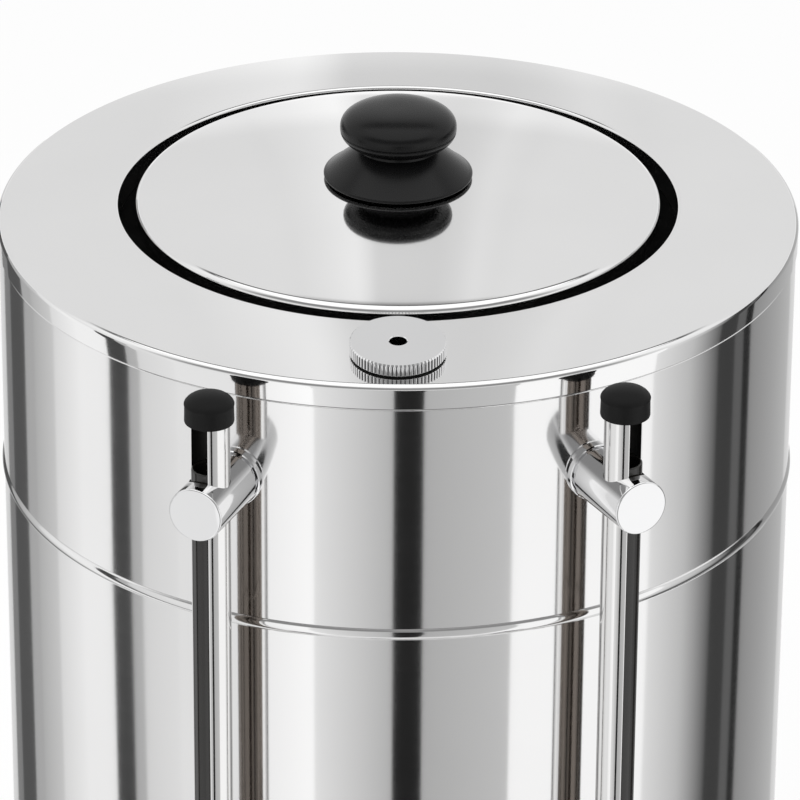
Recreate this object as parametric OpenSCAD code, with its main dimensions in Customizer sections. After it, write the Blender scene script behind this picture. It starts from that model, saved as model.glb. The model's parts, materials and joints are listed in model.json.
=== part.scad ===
// A water-jacketed coffee urn with two sight gauges, each ending in a lever tap.
// Millimetres, +Z up. The origin is on the urn's axis at table level, and the front faces -Y.

/* [Casing] */
// Radius of the polished rim at the top of the urn
rim_r = 180; // [174:1:190]
// Height of the rim's top edge above the table
rim_z = 555; // [520:1:600]
// Height of the rim's upright band, down to the dark seam
rim_band = 11.2; // [9:0.1:14]
// Radius of the rim's rounded outer edge
rim_round = 3; // [2:0.1:3.6]
// How far the rim stands proud of the shells below it
rim_proud = 0.6; // [0.3:0.1:1]
// Thickness of the pressed steel sheet
sheet = 1.2; // [0.9:0.1:1.5]
// Open line between the rim and the upper shell
seam_gap = 0.6; // [0.4:0.1:1]
// Height by which the upper shell laps up behind the rim's band
rim_lap = 6; // [4:0.5:7]
// Drop from the rim to the middle of the bead
bead_drop = 120; // [100:1:150]
// Height of the bead
bead_h = 4.8; // [3.6:0.1:6]
// How far the bead stands proud of the shells
bead_proud = 0.9; // [0.5:0.1:1.4]
// Height of the bead's tongue behind each shell
bead_tongue = 9; // [6:0.5:14]

/* [Deck and mouth] */
// Slope of the deck, rising from the rim to the mouth
deck_slope = 5.4; // [4:0.1:6.5]
// Radius of the mouth's rounded edge
mouth_round = 1.6; // [1.6:0.1:2.6]
// Depth of the ledge below the mouth's edge
ledge_drop = 14.8; // [13:0.1:20]
// Width of the ledge inside the mouth
ledge_w = 17.4; // [15:0.2:19]
// Height of the gasket on the ledge
gasket_h = 2.4; // [1.6:0.1:3.5]
// Width of the gasket inside the lid's skirt
gasket_w = 2.6; // [2:0.1:3]

/* [Lid and knob] */
// Gap between the lid and the mouth
lid_gap = 7.2; // [5.5:0.1:8.5]
// Height of the lid's edge above the mouth's edge
lid_stand = 2.2; // [0.5:0.1:3.5]
// Rise of the lid's dome over its edge
lid_rise = 10.1; // [7:0.1:15]
// Radius of the lid's rolled edge
lid_roll = 3.5; // [2.5:0.1:4.5]
// Radius of the knob's foot
knob_foot_r = 33.4; // [28:0.2:40]
// Thickness of the foot's rim
knob_foot_h = 2; // [1:0.1:3]
// Radius of the knob's neck
knob_neck_r = 18; // [13:0.2:20]
// Height of the neck's straight band
knob_neck_band = 1.4; // [0.6:0.1:3]
// Radius of the knob's grip
knob_grip_r = 26.1; // [23:0.1:30]
// Height of the grip's widest line above the lid
knob_grip_h = 23.2; // [20:0.2:26]
// Height of the grip's rounding above and below its widest line
knob_dome_h = 10; // [7:0.2:12]
// Radius of the knob's screw
knob_screw_r = 3; // [2:0.1:4]
// Depth to which the screw runs into the knob
knob_screw_run = 16; // [12:0.5:19]

/* [Vessel, jacket and basket] */
// Inset of the coffee vessel's wall from the mouth
vessel_inset = 1.2; // [0.6:0.1:4]
// Height of the vessel's floor above the table
vessel_z = 138; // [132:1:142]
// Radius of the vessel's rounded bottom edge
vessel_round = 10; // [4:0.5:14]
// Height of the tank's floor above the table
tank_z = 112; // [106:1:114]
// Drop from the rim to the top of the tank
tank_drop = 26; // [22:1:34]
// Thickness of the insulation sleeve
insulation_t = 10; // [6:0.5:11]
// Gap between the insulation sleeve and the casing
insulation_gap = 2.8; // [2.2:0.1:6]
// Gap between the basket's wall and the ledge
basket_gap = 1.4; // [0.6:0.1:6]
// Depth of the basket below the ledge
basket_depth = 120; // [80:5:160]
// Gap between the basket's hanging flange and the gasket
flange_gap = 1.4; // [0.5:0.1:3]
// Width of the ledge inside the basket's foot that carries the screen
basket_seat = 9; // [6:0.5:12]
// Diameter of the screen's holes
screen_hole_d = 4; // [2:0.2:5]
// Distance between the screen's rings of holes
screen_pitch = 12; // [9:0.5:16]

/* [Filler] */
// Gap between the knurled cap and the rim
filler_rim_gap = 6.5; // [5:0.1:9]
// Gap between the knurled cap and the mouth
filler_mouth_gap = 6.3; // [4:0.1:9]
// Turn of the filler round the urn from the front
filler_angle = -2.6; // [-8:0.1:8]
// Radius of the knurled cap
filler_cap_r = 20.9; // [19:0.1:21.5]
// Height of the knurled cap
filler_cap_h = 5.4; // [4:0.1:8]
// Number of the knurl's teeth
knurl_teeth = 72; // [48:1:96]
// Depth of the knurl
knurl_depth = 0.5; // [0.3:0.05:0.8]
// Height of the cap's seal
filler_seal_h = 0.8; // [0.6:0.1:1.4]
// Radius of the vent through the cap
vent_r = 3.8; // [2:0.1:5]
// Radius of the cap's threaded stub
stub_r = 9.5; // [8.5:0.1:10.5]
// Length of the threaded stub
stub_l = 9; // [6:0.5:12]
// Wall of the filler neck
neck_wall = 2; // [1.5:0.1:2.5]

/* [Gauges] */
// Turn of each gauge round the urn from the front
gauge_angle = 25.6; // [24:0.2:32]
// Distance of each gauge's axis from the shell
gauge_stand = 24.5; // [22:0.5:28]
// Drop from the rim to the arms' axis
arm_drop = 50.7; // [44:0.5:70]
// Radius of the arms
arm_r = 12.2; // [11:0.1:14]
// Length of the arms beyond the gauges' axis
arm_nose = 15.5; // [13:0.5:20]
// Radius of the arms' collars at the shell
arm_collar_r = 13; // [12:0.1:15]
// Thickness of the arms' collars
arm_collar_t = 2.2; // [1.5:0.1:3]
// Width of the groove beside each collar
arm_groove_w = 1.6; // [1:0.1:2.5]
// Depth of the groove beside each collar
arm_groove_d = 1.2; // [0.6:0.1:2]
// Radius of the arms' studs through the shell
arm_stud_r = 5; // [4:0.1:6]
// Radius of the gauges' shields
shield_r = 8.8; // [8:0.1:9.2]
// Wall of the shields
shield_wall = 0.6; // [0.5:0.1:1]
// Angle that the shields' slots span
slot_span = 106; // [80:1:130]
// Turn of the slots away from straight outwards
slot_turn = 35; // [10:1:60]
// Gap between the sight glasses and their shields
glass_gap = 0.3; // [0.3:0.05:1]
// Wall of the sight glasses
glass_wall = 1.4; // [1:0.1:1.8]
// Drop from the rim to the sight glasses' tops
glass_drop = 35; // [28:0.5:48]
// Radius of the gauges' rubber caps
cap_r = 10.75; // [10:0.05:12]
// Height of the rubber caps
cap_h = 13; // [11:0.5:18]
// Height of the rubber caps' domed tops
cap_dome = 4.4; // [3:0.1:6]

/* [Taps] */
// Height of the taps' axis above the table
tap_z = 160; // [157:0.5:166]
// Distance from the gauges' axis out to the valves' axis
valve_reach = 39; // [36:0.5:44]
// Radius of the threaded shanks
shank_r = 9; // [8:0.2:10]
// Radius of the flow passages
flow_r = 5; // [4:0.1:5.6]
// Radius of the flanges at the shell
flange_r = 17; // [15:0.5:20]
// Thickness of the flanges
flange_t = 5; // [4:0.2:7]
// Thickness of the gaskets behind the flanges
tap_gasket_t = 2.5; // [2:0.1:3.5]
// Radius of the level barrels
barrel_r = 11; // [10:0.2:12]
// Radius of the gauge sockets
socket_r = 12.5; // [12:0.1:14]
// Height of the gauge sockets above the taps' axis
socket_h = 36; // [32:0.5:44]
// Height of the glasses' seats above the taps' axis
glass_seat = 15; // [13:0.5:17]
// Height of the seals round the glasses' feet
glass_seal_h = 8; // [6:0.5:10]
// Radius of the valve chambers' walls
valve_r = 15; // [14:0.2:16]
// Wall of the valve chambers
valve_wall = 4; // [3:0.1:4.5]
// Height of the valve chambers above the taps' axis
valve_top = 28; // [26:0.5:32]
// Depth of the valves' seats below the taps' axis
seat_drop = 12; // [11:0.2:14]
// Length of the spouts below the seats
spout_l = 34; // [28:0.5:40]
// Radius of the spouts
spout_r = 10; // [9:0.2:11]
// Radius of the spouts' bores
outlet_r = 6.5; // [5.5:0.1:7]
// Radius of the valve stems
stem_r = 3; // [2.6:0.1:3.4]
// Radius of the rubber cups on the stems
cup_r = 9; // [8.4:0.1:9.4]
// Height of the rubber cups
cup_h = 6; // [5:0.1:6.6]
// Height of the bonnets above the valve chambers
bonnet_h = 12; // [9:0.5:16]
// Depth of the bonnets' plugs in the chambers
plug_l = 6; // [4:0.5:8]
// Radius of the springs' coils, at the middle of the wire
spring_r = 6; // [5.2:0.1:7]
// Diameter of the springs' wire
spring_wire = 1.2; // [0.8:0.1:1.5]
// Number of turns of each spring
spring_turns = 7; // [5:1:9]

/* [Levers] */
// Distance of the cams' centres from the pins
cam_offset = 6; // [5:0.1:7]
// Radius of the cams
cam_r = 8; // [7:0.1:9]
// Radius of the levers' pins
pin_r = 2; // [1.6:0.1:2.4]
// Radius of the levers' hubs
hub_r = 6; // [5.2:0.1:7]
// Width of the levers' forks
fork_w = 16; // [14:0.5:18]
// Length of the levers above the pins
lever_l = 62; // [50:1:75]
// Lean of the levers outwards at rest
lever_lean = 12; // [5:0.5:20]
// Width of the levers' paddles
paddle_w = 22; // [18:0.5:28]
// Thickness of the levers' paddles
paddle_t = 10; // [8:0.5:13]

/* [Base and controls] */
// Height of the foot ring
foot_h = 14; // [12:0.5:20]
// Inset of the foot ring from the casing
foot_inset = 5.4; // [3:0.2:12]
// Width of the foot ring
foot_w = 24; // [20:0.5:30]
// Thickness of the base plate
plate_t = 1.5; // [1:0.1:2.5]
// Radius of the base screws
screw_r = 2; // [1.6:0.1:2.5]
// Number of base screws
screw_count = 6; // [4:1:10]
// Width of the control panel
panel_w = 118; // [112:1:126]
// Height of the control panel
panel_h = 48; // [46:0.5:56]
// Height of the control panel's middle above the table
panel_z = 62; // [56:0.5:66]
// How far the panel's face stands in front of the shell
panel_proud = 7; // [6:0.2:10]
// Thickness of the panel's face
panel_wall = 4; // [3:0.1:5]
// Width of the panel's rim that lies on the shell
panel_rim = 8; // [6:0.2:9]
// Radius of the panel's corners
panel_round = 6; // [3:0.2:8]
// Radius of the thermostat knob
dial_r = 15; // [13:0.2:16.5]
// Depth of the thermostat knob
dial_h = 15; // [12:0.5:20]
// Radius of the thermostat's shaft
shaft_r = 3; // [2.5:0.1:3.5]
// Width of the switch's rocker
rocker_w = 12; // [10:0.2:14]
// Length of the switch's rocker
rocker_l = 19; // [17:0.2:21]
// Tilt of the rocker to each side
rocker_tilt = 8; // [5:0.5:10]
// Radius of the pilot lamps
lamp_r = 4; // [3:0.1:5]
// Height of the cable gland above the table
gland_z = 50; // [40:0.5:70]
// Radius of the gland's cable bore
gland_bore_r = 4.5; // [3.5:0.1:5.5]
// Radius of the gland's thread through the shell
gland_r = 8; // [7:0.1:9]
// Radius of the heating element's tube
element_r = 4.2; // [3.2:0.1:5]
// Radius of the heating element's ring
element_ring = 88; // [60:1:110]

/* [Clearances] */
// Gap round pieces that are pressed or bolted together
seat_fit = 0.05; // [0.02:0.01:0.1]
// Running fit round pins, stems, shafts and threads
run_fit = 0.06; // [0.02:0.01:0.1]
// Gap between pieces that pass without touching
free_gap = 0.4; // [0.3:0.05:0.6]

/* [Hidden] */
$fn = 96;
steel = [0.80, 0.80, 0.80];
satin = [0.72, 0.72, 0.71];
chrome = [0.86, 0.86, 0.87];
black = [0.06, 0.06, 0.065];
rubber = [0.10, 0.10, 0.10];
brass = [0.72, 0.58, 0.30];
smoke = [0.13, 0.12, 0.12, 0.8];
wool = [0.83, 0.80, 0.70];
sides = [["left_", -1], ["right_", 1]];
arc_steps = 8;
fine = 256;
ring_full = 360;

// Casing
seam_z = rim_z - rim_band;
shell_r = rim_r - rim_proud;
shell_in = shell_r - sheet;
bead_z = rim_z - bead_drop;
bead_curve = (bead_h * bead_h / 4 + bead_proud * bead_proud) / (2 * bead_proud);
bead_half = asin(bead_h / 2 / bead_curve);
tongue_r = shell_in - seat_fit;
lap_r = rim_r - sheet - seat_fit;

// Deck and mouth
deck_r = rim_r - rim_round + rim_round * sin(deck_slope);
deck_z0 = rim_z - rim_round + rim_round * cos(deck_slope);
mouth_r = rim_r - filler_rim_gap - 2 * filler_cap_r - filler_mouth_gap;
ledge_r = mouth_r - ledge_w;
mouth_z = deck_z(mouth_r + mouth_round * (1 + sin(deck_slope))) + mouth_round * (1 - cos(deck_slope));
ledge_z = mouth_z - ledge_drop;

// Lid
lid_r = mouth_r - lid_gap;
lid_edge_z = mouth_z + lid_stand;
dome_angle = 2 * atan(lid_rise / lid_r);
dome_edge = lid_r - lid_roll * (1 - sin(dome_angle));
dome_r = dome_edge / sin(dome_angle);
lid_top = lid_edge_z + dome_r * (1 - cos(dome_angle));
skirt_z = ledge_z + gasket_h;
knob_power = 0.8;
knob_low = -acos(pow(knob_neck_r / knob_grip_r, 1 / knob_power));

// Vessel, jacket and basket
vessel_r = mouth_r - vessel_inset;
sleeve_out = shell_in - insulation_gap;
tank_r = sleeve_out - insulation_t - free_gap;
vessel_flange = mouth_r + sheet;
vessel_under = ledge_z - sheet;
tank_top = rim_z - tank_drop;
basket_r = ledge_r - basket_gap;
gasket_in = lid_r - sheet - gasket_w;
basket_flange_r = gasket_in - flange_gap;
basket_z = ledge_z - basket_depth;
screen_rings = floor((basket_r - basket_seat - screen_hole_d) / screen_pitch);

// Filler
filler_r = rim_r - filler_rim_gap - filler_cap_r;
neck_r = stub_r + run_fit + neck_wall;
filler_seal_z = seat_fit + filler_seal_h;
neck_flange = 4;
neck_flange_t = 2;
neck_rise = 0.4;

// Gauges
gauge_r = shell_r + gauge_stand;
arm_z = rim_z - arm_drop;
arm_end = gauge_r + arm_nose;
glass_r = shield_r - shield_wall - glass_gap;
stud_in = 7;
arm_nut = 1.9 * arm_stud_r;
nut_t = 4;
glass_top = rim_z - glass_drop;
shield_top = rim_z - cap_dome;
shield_foot = tap_z + glass_seat + glass_seal_h;
slot_foot = tap_z + socket_h + 4;

// Taps
valve_x = gauge_r + valve_reach;
chamber_r = valve_r - valve_wall;
flange_x = shell_r + tap_gasket_t;
socket_foot = 2;
seat_t = 2;
boss_l = 5;
boss_x = valve_x - valve_r - boss_l;
boss_r = barrel_r + 2;
spigot_l = 6;
spigot_r = flow_r + 3;
seat_z = tap_z - seat_drop;
chamber_top = tap_z + valve_top;
pad_z = chamber_top + bonnet_h;
pin_z = pad_z + cam_r + free_gap;
spout_z = seat_z - spout_l;
shank_nut = shank_r * 1.6;
shank_nut_t = 7;
shank_tail = 5;
left_wall = tank_r - sheet;
right_wall = vessel_r - sheet;
left_nut = left_wall - sagitta(shank_nut, left_wall);
right_nut = right_wall - sagitta(shank_nut, right_wall);
sleeve_wall = 1.5;
sleeve_r = shank_r + free_gap + sleeve_wall;
lever_gap = 2 * (stem_r + free_gap);
stem_head = 2.1 * pin_r;
fork_top = norm([stem_r, stem_head]) + 2 * free_gap;
spring_foot = seat_z + cup_h + free_gap + spring_wire / 2;
spring_head = chamber_top - plug_l - free_gap - spring_wire / 2;
spring_sides = 6;
spring_steps = 10 * spring_turns;
spring_gap = (spring_head - spring_foot) / spring_turns - spring_wire;
echo(least_gap_between_spring_turns = spring_gap);

// Base and controls
casing_z = foot_h + plate_t;
foot_r = shell_r - foot_inset;
screw_ring = foot_r - foot_w / 2;
screw_head_r = 2 * screw_r;
screw_head_h = 1.4 * screw_r;
head_recess = 7;
flange_in = foot_r - foot_w;
panel_y = -(shell_r + panel_proud);
panel_back = panel_y + panel_wall;
pocket_w = panel_w - 2 * panel_rim;
pocket_h = panel_h - 2 * panel_rim;
dial_inset = 31;
switch_inset = 25;
lamp_inset = 26;
lamp_step = 9;
dial_x = dial_inset - panel_w / 2;
switch_x = panel_w / 2 - switch_inset;
lamp_x = switch_x - lamp_inset;
frame_w = 3;
frame_t = 1.6;
shaft_depth = 12;
dial_gap = 0.6;
shaft_socket = 9;
switch_depth = 18;
rocker_gap = 0.5;
rocker_pin_r = 1.5;
rocker_pin = 2;
gland_body = 8;
gland_dome = 12;
gland_tail = 9;
gland_collar = 3.5;
gland_nut_t = 4;
element_z = (tank_z + sheet + vessel_z) / 2;
element_arc = 325;
element_leg_r = element_r + 0.8;

// Height of the deck's surface at a distance from the axis
function deck_z(r) = deck_z0 + (deck_r - r) * tan(deck_slope);

// How far a chord of half-width w stands off a circle of radius r
function sagitta(w, r) = r - sqrt(r * r - w * w);

// Points along an arc
function arc(x, y, r, from, to, steps = arc_steps) =
    [for (i = [0:steps]) let (a = from + (to - from) * i / steps) [x + r * cos(a), y + r * sin(a)]];

// Corner points of a rectangle with round corners, about its middle
function round_rect(w, h, r) = concat(
    arc(w / 2 - r, h / 2 - r, r, 0, 90),
    arc(r - w / 2, h / 2 - r, r, 90, 180),
    arc(r - w / 2, r - h / 2, r, 180, 270),
    arc(w / 2 - r, r - h / 2, r, 270, 360)
);

// A ring or tube from its inner to its outer radius
module ring(r_in, r_out, z0, z1) {
    rotate_extrude() translate([r_in, z0]) square([r_out - r_in, z1 - z0]);
}

// A rod along X at a height
module rod_x(r, x0, x1, z) {
    translate([x0, 0, z]) rotate([0, 90, 0]) cylinder(r = r, h = x1 - x0);
}

// A rod along Y about a place in XZ
module rod_y(r, y0, y1, x, z) {
    translate([x, y0, z]) rotate([-90, 0, 0]) cylinder(r = r, h = y1 - y0);
}

// Turns +X to point outwards at an angle round the urn from its front
module facing(angle) {
    rotate([0, 0, angle - 90]) children();
}

// The filler's own frame: its origin on the deck, its Z square to the deck
module at_filler() {
    facing(filler_angle) translate([filler_r, 0, deck_z(filler_r)]) rotate([0, deck_slope, 0]) children();
}

// A hexagon nut along X
module hex_x(across, x0, x1, z, bore) {
    difference() {
        translate([x0, 0, z]) rotate([0, 90, 0]) cylinder(r = across, h = x1 - x0, $fn = 6);
        rod_x(bore, x0 - 1, x1 + 1, z);
    }
}

// A box given by its two corners
module block(a, b) {
    translate(a) cube(b - a);
}

module top_deck() {
    edge_r = rim_r - rim_round;
    edge_z = rim_z - rim_round;
    mouth_c = [mouth_r + mouth_round, mouth_z - mouth_round];
    color(satin) difference() {
        rotate_extrude() polygon(concat(
            [[rim_r - sheet, seam_z], [rim_r, seam_z]],
            arc(edge_r, edge_z, rim_round, 0, 90 - deck_slope),
            arc(mouth_c[0], mouth_c[1], mouth_round, 90 - deck_slope, 180),
            [[mouth_r, ledge_z], [mouth_r + sheet, ledge_z]],
            arc(mouth_c[0], mouth_c[1], mouth_round - sheet, 180, 90 - deck_slope),
            arc(edge_r, edge_z, rim_round - sheet, 90 - deck_slope, 0)
        ));
        at_filler() cylinder(r = neck_r + seat_fit, h = 8 * sheet, center = true);
    }
}

module upper_shell() {
    lap_z = seam_z - seam_gap;
    color(steel) difference() {
        rotate_extrude() polygon([
            [shell_in, bead_z + bead_h / 2], [shell_r, bead_z + bead_h / 2], [shell_r, lap_z],
            [lap_r, lap_z], [lap_r, seam_z + rim_lap], [lap_r - sheet, seam_z + rim_lap],
            [lap_r - sheet, lap_z - sheet], [shell_in, lap_z - sheet]
        ]);
        for (s = sides) facing(s[1] * gauge_angle) rod_x(arm_stud_r + seat_fit, tank_r, shell_r + 1, arm_z);
    }
}

// A T-section ring whose tongue laps behind both shells
module body_bead() {
    half = bead_h / 2;
    reach = half + bead_tongue;
    color(steel) translate([0, 0, bead_z]) rotate_extrude() polygon(concat(
        [[tongue_r - sheet, -reach], [tongue_r, -reach], [tongue_r, -half]],
        arc(shell_r + bead_proud - bead_curve, 0, bead_curve, -bead_half, bead_half),
        [[tongue_r, half], [tongue_r, reach], [tongue_r - sheet, reach]]
    ));
}

module lower_shell() {
    color(steel) difference() {
        rotate_extrude() polygon([
            [flange_in, casing_z], [shell_r, casing_z], [shell_r, bead_z - bead_h / 2],
            [shell_in, bead_z - bead_h / 2], [shell_in, casing_z + sheet], [flange_in, casing_z + sheet]
        ]);
        for (s = sides) facing(s[1] * gauge_angle) rod_x(shank_r + seat_fit, tank_r, shell_r + 1, tap_z);
        translate([0, panel_y, panel_z]) cube([pocket_w, shell_r, pocket_h], center = true);
        rod_y(gland_r + seat_fit, tank_r, shell_r + 1, 0, gland_z);
        base_holes(screw_r + seat_fit);
    }
}

// The pattern of base screws
module base_ring() {
    for (i = [0:screw_count - 1]) rotate([0, 0, (i + 0.5) * ring_full / screw_count])
        translate([screw_ring, 0, 0]) children();
}

module base_holes(r) {
    base_ring() translate([0, 0, -1]) cylinder(r = r, h = tank_z);
}

module base_plate() {
    vent_l = 34;
    vent_w = 4;
    vent_count = 12;
    color(satin) difference() {
        ring(0, foot_r - free_gap, foot_h, casing_z);
        base_holes(screw_r + seat_fit);
        for (i = [0:vent_count - 1]) rotate([0, 0, i * ring_full / vent_count])
            block([flange_in / 2, -vent_w / 2, 0], [flange_in / 2 + vent_l, vent_w / 2, casing_z + 1]);
    }
}

module foot_ring() {
    foot_round = 4;
    color(rubber) difference() {
        rotate_extrude() polygon(concat(
            [[flange_in, 0]],
            arc(foot_r - foot_round, foot_round, foot_round, -90, 0),
            [[foot_r, foot_h], [flange_in, foot_h]]
        ));
        base_holes(screw_r + seat_fit);
        base_ring() translate([0, 0, -1]) cylinder(r = screw_head_r + free_gap, h = head_recess + 1);
    }
}

module base_screws() {
    screw_run = 3;
    color(chrome) base_ring() {
        translate([0, 0, head_recess - screw_head_h]) cylinder(r = screw_head_r, h = screw_head_h);
        translate([0, 0, head_recess]) cylinder(r = screw_r, h = casing_z + sheet + screw_run - head_recess);
    }
}

// A deep pot whose flange carries the deck's throat outside and the lid and basket inside
module coffee_vessel() {
    inner = vessel_r - sheet;
    color(satin) difference() {
        rotate_extrude() polygon(concat(
            [[0, vessel_z]],
            arc(vessel_r - vessel_round, vessel_z + vessel_round, vessel_round, -90, 0),
            [[vessel_r, vessel_under], [vessel_flange, vessel_under], [vessel_flange, ledge_z]],
            [[ledge_r, ledge_z], [ledge_r, vessel_under], [inner, vessel_under]],
            arc(vessel_r - vessel_round, vessel_z + vessel_round, vessel_round - sheet, 0, -90),
            [[0, vessel_z + sheet]]
        ));
        facing(gauge_angle) rod_x(shank_r + seat_fit, vessel_r / 2, tank_r, tap_z);
    }
}

module jacket_tank() {
    inner = tank_r - sheet;
    color(satin) difference() {
        rotate_extrude() polygon([
            [0, tank_z], [tank_r, tank_z], [tank_r, tank_top], [vessel_r + seat_fit, tank_top],
            [vessel_r + seat_fit, tank_top - sheet], [inner, tank_top - sheet], [inner, tank_z + sheet],
            [0, tank_z + sheet]
        ]);
        facing(-gauge_angle) rod_x(shank_r + seat_fit, vessel_r, shell_r, tap_z);
        facing(gauge_angle) rod_x(sleeve_r + seat_fit, vessel_r, shell_r, tap_z);
        at_filler() translate([0, 0, -2 * tank_drop]) cylinder(r = neck_r + seat_fit, h = 2 * tank_drop);
        element_legs() translate([0, 0, -1]) cylinder(r = element_leg_r + seat_fit, h = tank_z + 2 * sheet);
    }
}

module outlet_sleeve() {
    color(satin) facing(gauge_angle) difference() {
        rod_x(sleeve_r, vessel_r - sheet, tank_r, tap_z);
        rod_x(shank_r + free_gap, vessel_r / 2, shell_r, tap_z);
        facing_back(gauge_angle) cylinder(r = vessel_r + seat_fit, h = rim_z, $fn = fine);
    }
}

// Undoes facing() for a cutter that stands on the urn's axis
module facing_back(angle) {
    rotate([0, 0, 90 - angle]) children();
}

module insulation_sleeve() {
    color(wool) difference() {
        ring(sleeve_out - insulation_t, sleeve_out, tank_z, tank_top);
        at_filler() translate([0, 0, -2 * tank_drop]) cylinder(r = neck_r + free_gap, h = 2 * tank_drop);
        for (s = sides) facing(s[1] * gauge_angle) {
            rod_x(shank_r + free_gap, vessel_r, shell_r, tap_z);
            rod_x(arm_nut + free_gap, vessel_r, shell_r, arm_z);
        }
    }
}

module mouth_gasket() {
    color(rubber) ring(gasket_in, mouth_r - seat_fit, ledge_z, skirt_z);
}

// The two legs of the heating element
module element_legs() {
    for (a = [0, element_arc]) rotate([0, 0, a]) translate([element_ring, 0, 0]) children();
}

module heating_element() {
    leg_drop = 16;
    color(brass) union() {
        translate([0, 0, element_z]) rotate_extrude(angle = element_arc) translate([element_ring, 0])
            circle(r = element_r);
        element_legs() translate([0, 0, tank_z - leg_drop])
            cylinder(r = element_leg_r, h = element_z + element_leg_r + leg_drop - tank_z);
    }
}

module element_nuts() {
    nut_h = 6;
    color(brass) element_legs() difference() {
        translate([0, 0, tank_z - nut_h]) cylinder(r = 2 * element_leg_r, h = nut_h, $fn = 6);
        translate([0, 0, tank_z - nut_h - 1]) cylinder(r = element_leg_r + seat_fit, h = nut_h + 2);
    }
}

module overheat_cutout() {
    can_r = 9;
    can_h = 9;
    blade = [6.3, 0.8, 9];
    color(black) translate([element_ring / 2, 0, tank_z - can_h]) {
        cylinder(r = can_r, h = can_h);
        for (y = [-can_r / 2, can_r / 2]) translate([-blade[0] / 2, y - blade[1] / 2, -blade[2]])
            cube(blade + [0, 0, 1]);
    }
}

module terminal_block() {
    size = [46, 22, 16];
    ways = 3;
    color("ivory") translate([0, tank_r / 2, casing_z]) difference() {
        translate([-size[0] / 2, -size[1] / 2, 0]) cube(size);
        for (i = [0:ways - 1]) translate([(i - 1) * size[0] / (ways + 0.4), 0, size[2]])
            rotate([90, 0, 0]) cylinder(r = size[2] / 4, h = size[1] + 2, center = true);
    }
}

module filler_neck() {
    tank_at = deck_z(filler_r) - tank_top;
    inside = 4;
    color(satin) at_filler() difference() {
        union() {
            translate([0, 0, -tank_at - inside]) cylinder(r = neck_r, h = tank_at + inside + neck_rise);
            translate([0, 0, -sheet - neck_flange_t - seat_fit])
                cylinder(r = neck_r + neck_flange, h = neck_flange_t);
        }
        translate([0, 0, -tank_at - inside - 1]) cylinder(r = stub_r + run_fit, h = tank_at + inside + 3);
    }
}

module filler_seal() {
    color(rubber) at_filler() ring(neck_r + free_gap, filler_cap_r - knurl_depth, seat_fit, filler_seal_z);
}

// A knurled disc on a threaded stub, with a vent through both
module filler_cap() {
    teeth = [for (i = [0:2 * knurl_teeth - 1]) let (a = i * ring_full / 2 / knurl_teeth)
        let (r = filler_cap_r - knurl_depth * (i % 2)) [r * cos(a), r * sin(a)]];
    color(chrome) at_filler() difference() {
        union() {
            translate([0, 0, filler_seal_z]) linear_extrude(filler_cap_h) polygon(teeth);
            translate([0, 0, filler_seal_z - stub_l]) cylinder(r = stub_r, h = stub_l + filler_cap_h / 2);
        }
        translate([0, 0, -stub_l]) cylinder(r = vent_r, h = stub_l + filler_seal_z + filler_cap_h + 1);
    }
}

module lid() {
    dome_c = lid_top - dome_r;
    roll_c = [lid_r - lid_roll, lid_edge_z - lid_roll * cos(dome_angle)];
    color(steel) difference() {
        rotate_extrude() polygon(concat(
            arc(0, dome_c, dome_r, 90, 90 - dome_angle, 2 * arc_steps),
            arc(roll_c[0], roll_c[1], lid_roll, 90 - dome_angle, 0),
            [[lid_r, skirt_z], [lid_r - sheet, skirt_z]],
            arc(roll_c[0], roll_c[1], lid_roll - sheet, 0, 90 - dome_angle),
            arc(0, dome_c, dome_r - sheet, 90 - dome_angle, 90, 2 * arc_steps)
        ));
        translate([0, 0, ledge_z]) cylinder(r = knob_screw_r + seat_fit, h = lid_top);
    }
}

// A point of the grip's section, from its neck at knob_low to its top at 90
function grip(t) = [
    knob_grip_r * pow(max(cos(t), 0), knob_power),
    knob_grip_h + knob_dome_h * sign(t) * pow(abs(sin(t)), knob_power)
];

module lid_knob() {
    bevel = 1.2;
    steps = 4 * arc_steps;
    neck_h = grip(knob_low)[1] - knob_neck_band;
    color(black) translate([0, 0, lid_top]) difference() {
        rotate_extrude() polygon(concat(
            [[0, 0], [knob_foot_r - knob_foot_h / 2, 0], [knob_foot_r, knob_foot_h / 2]],
            [[knob_foot_r - knob_foot_h / 4, knob_foot_h]],
            [[knob_neck_r + bevel, neck_h - bevel / 2], [knob_neck_r, neck_h]],
            [for (i = [0:steps]) grip(knob_low + (90 - knob_low) * i / steps)]
        ));
        translate([0, 0, -1]) cylinder(r = knob_screw_r + seat_fit, h = knob_screw_run + 1);
    }
}

module lid_knob_screw() {
    head_h = 4;
    head_r = 2 * knob_screw_r;
    run_out = 1;
    drop = sagitta(head_r, dome_r - sheet) + seat_fit;
    color(chrome) translate([0, 0, lid_top - sheet]) {
        translate([0, 0, -head_h - drop]) cylinder(r = head_r, h = head_h);
        translate([0, 0, -drop - run_out])
            cylinder(r = knob_screw_r, h = drop + sheet + knob_screw_run);
    }
}

module brew_basket() {
    inner = basket_r - sheet;
    color(satin) rotate_extrude() polygon([
        [basket_r - basket_seat, basket_z], [basket_r, basket_z], [basket_r, ledge_z],
        [basket_flange_r, ledge_z], [basket_flange_r, ledge_z + sheet],
        [inner, ledge_z + sheet], [inner, basket_z + sheet], [basket_r - basket_seat, basket_z + sheet]
    ]);
}

module basket_screen() {
    holes_per_ring = 6;
    color(steel) translate([0, 0, basket_z + sheet]) linear_extrude(sheet) difference() {
        circle(r = basket_r - sheet - seat_fit);
        circle(d = screen_hole_d);
        for (k = [1:screen_rings]) for (i = [0:holes_per_ring * k - 1])
            rotate(i * ring_full / holes_per_ring / k) translate([k * screen_pitch, 0])
                circle(d = screen_hole_d);
    }
}

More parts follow.
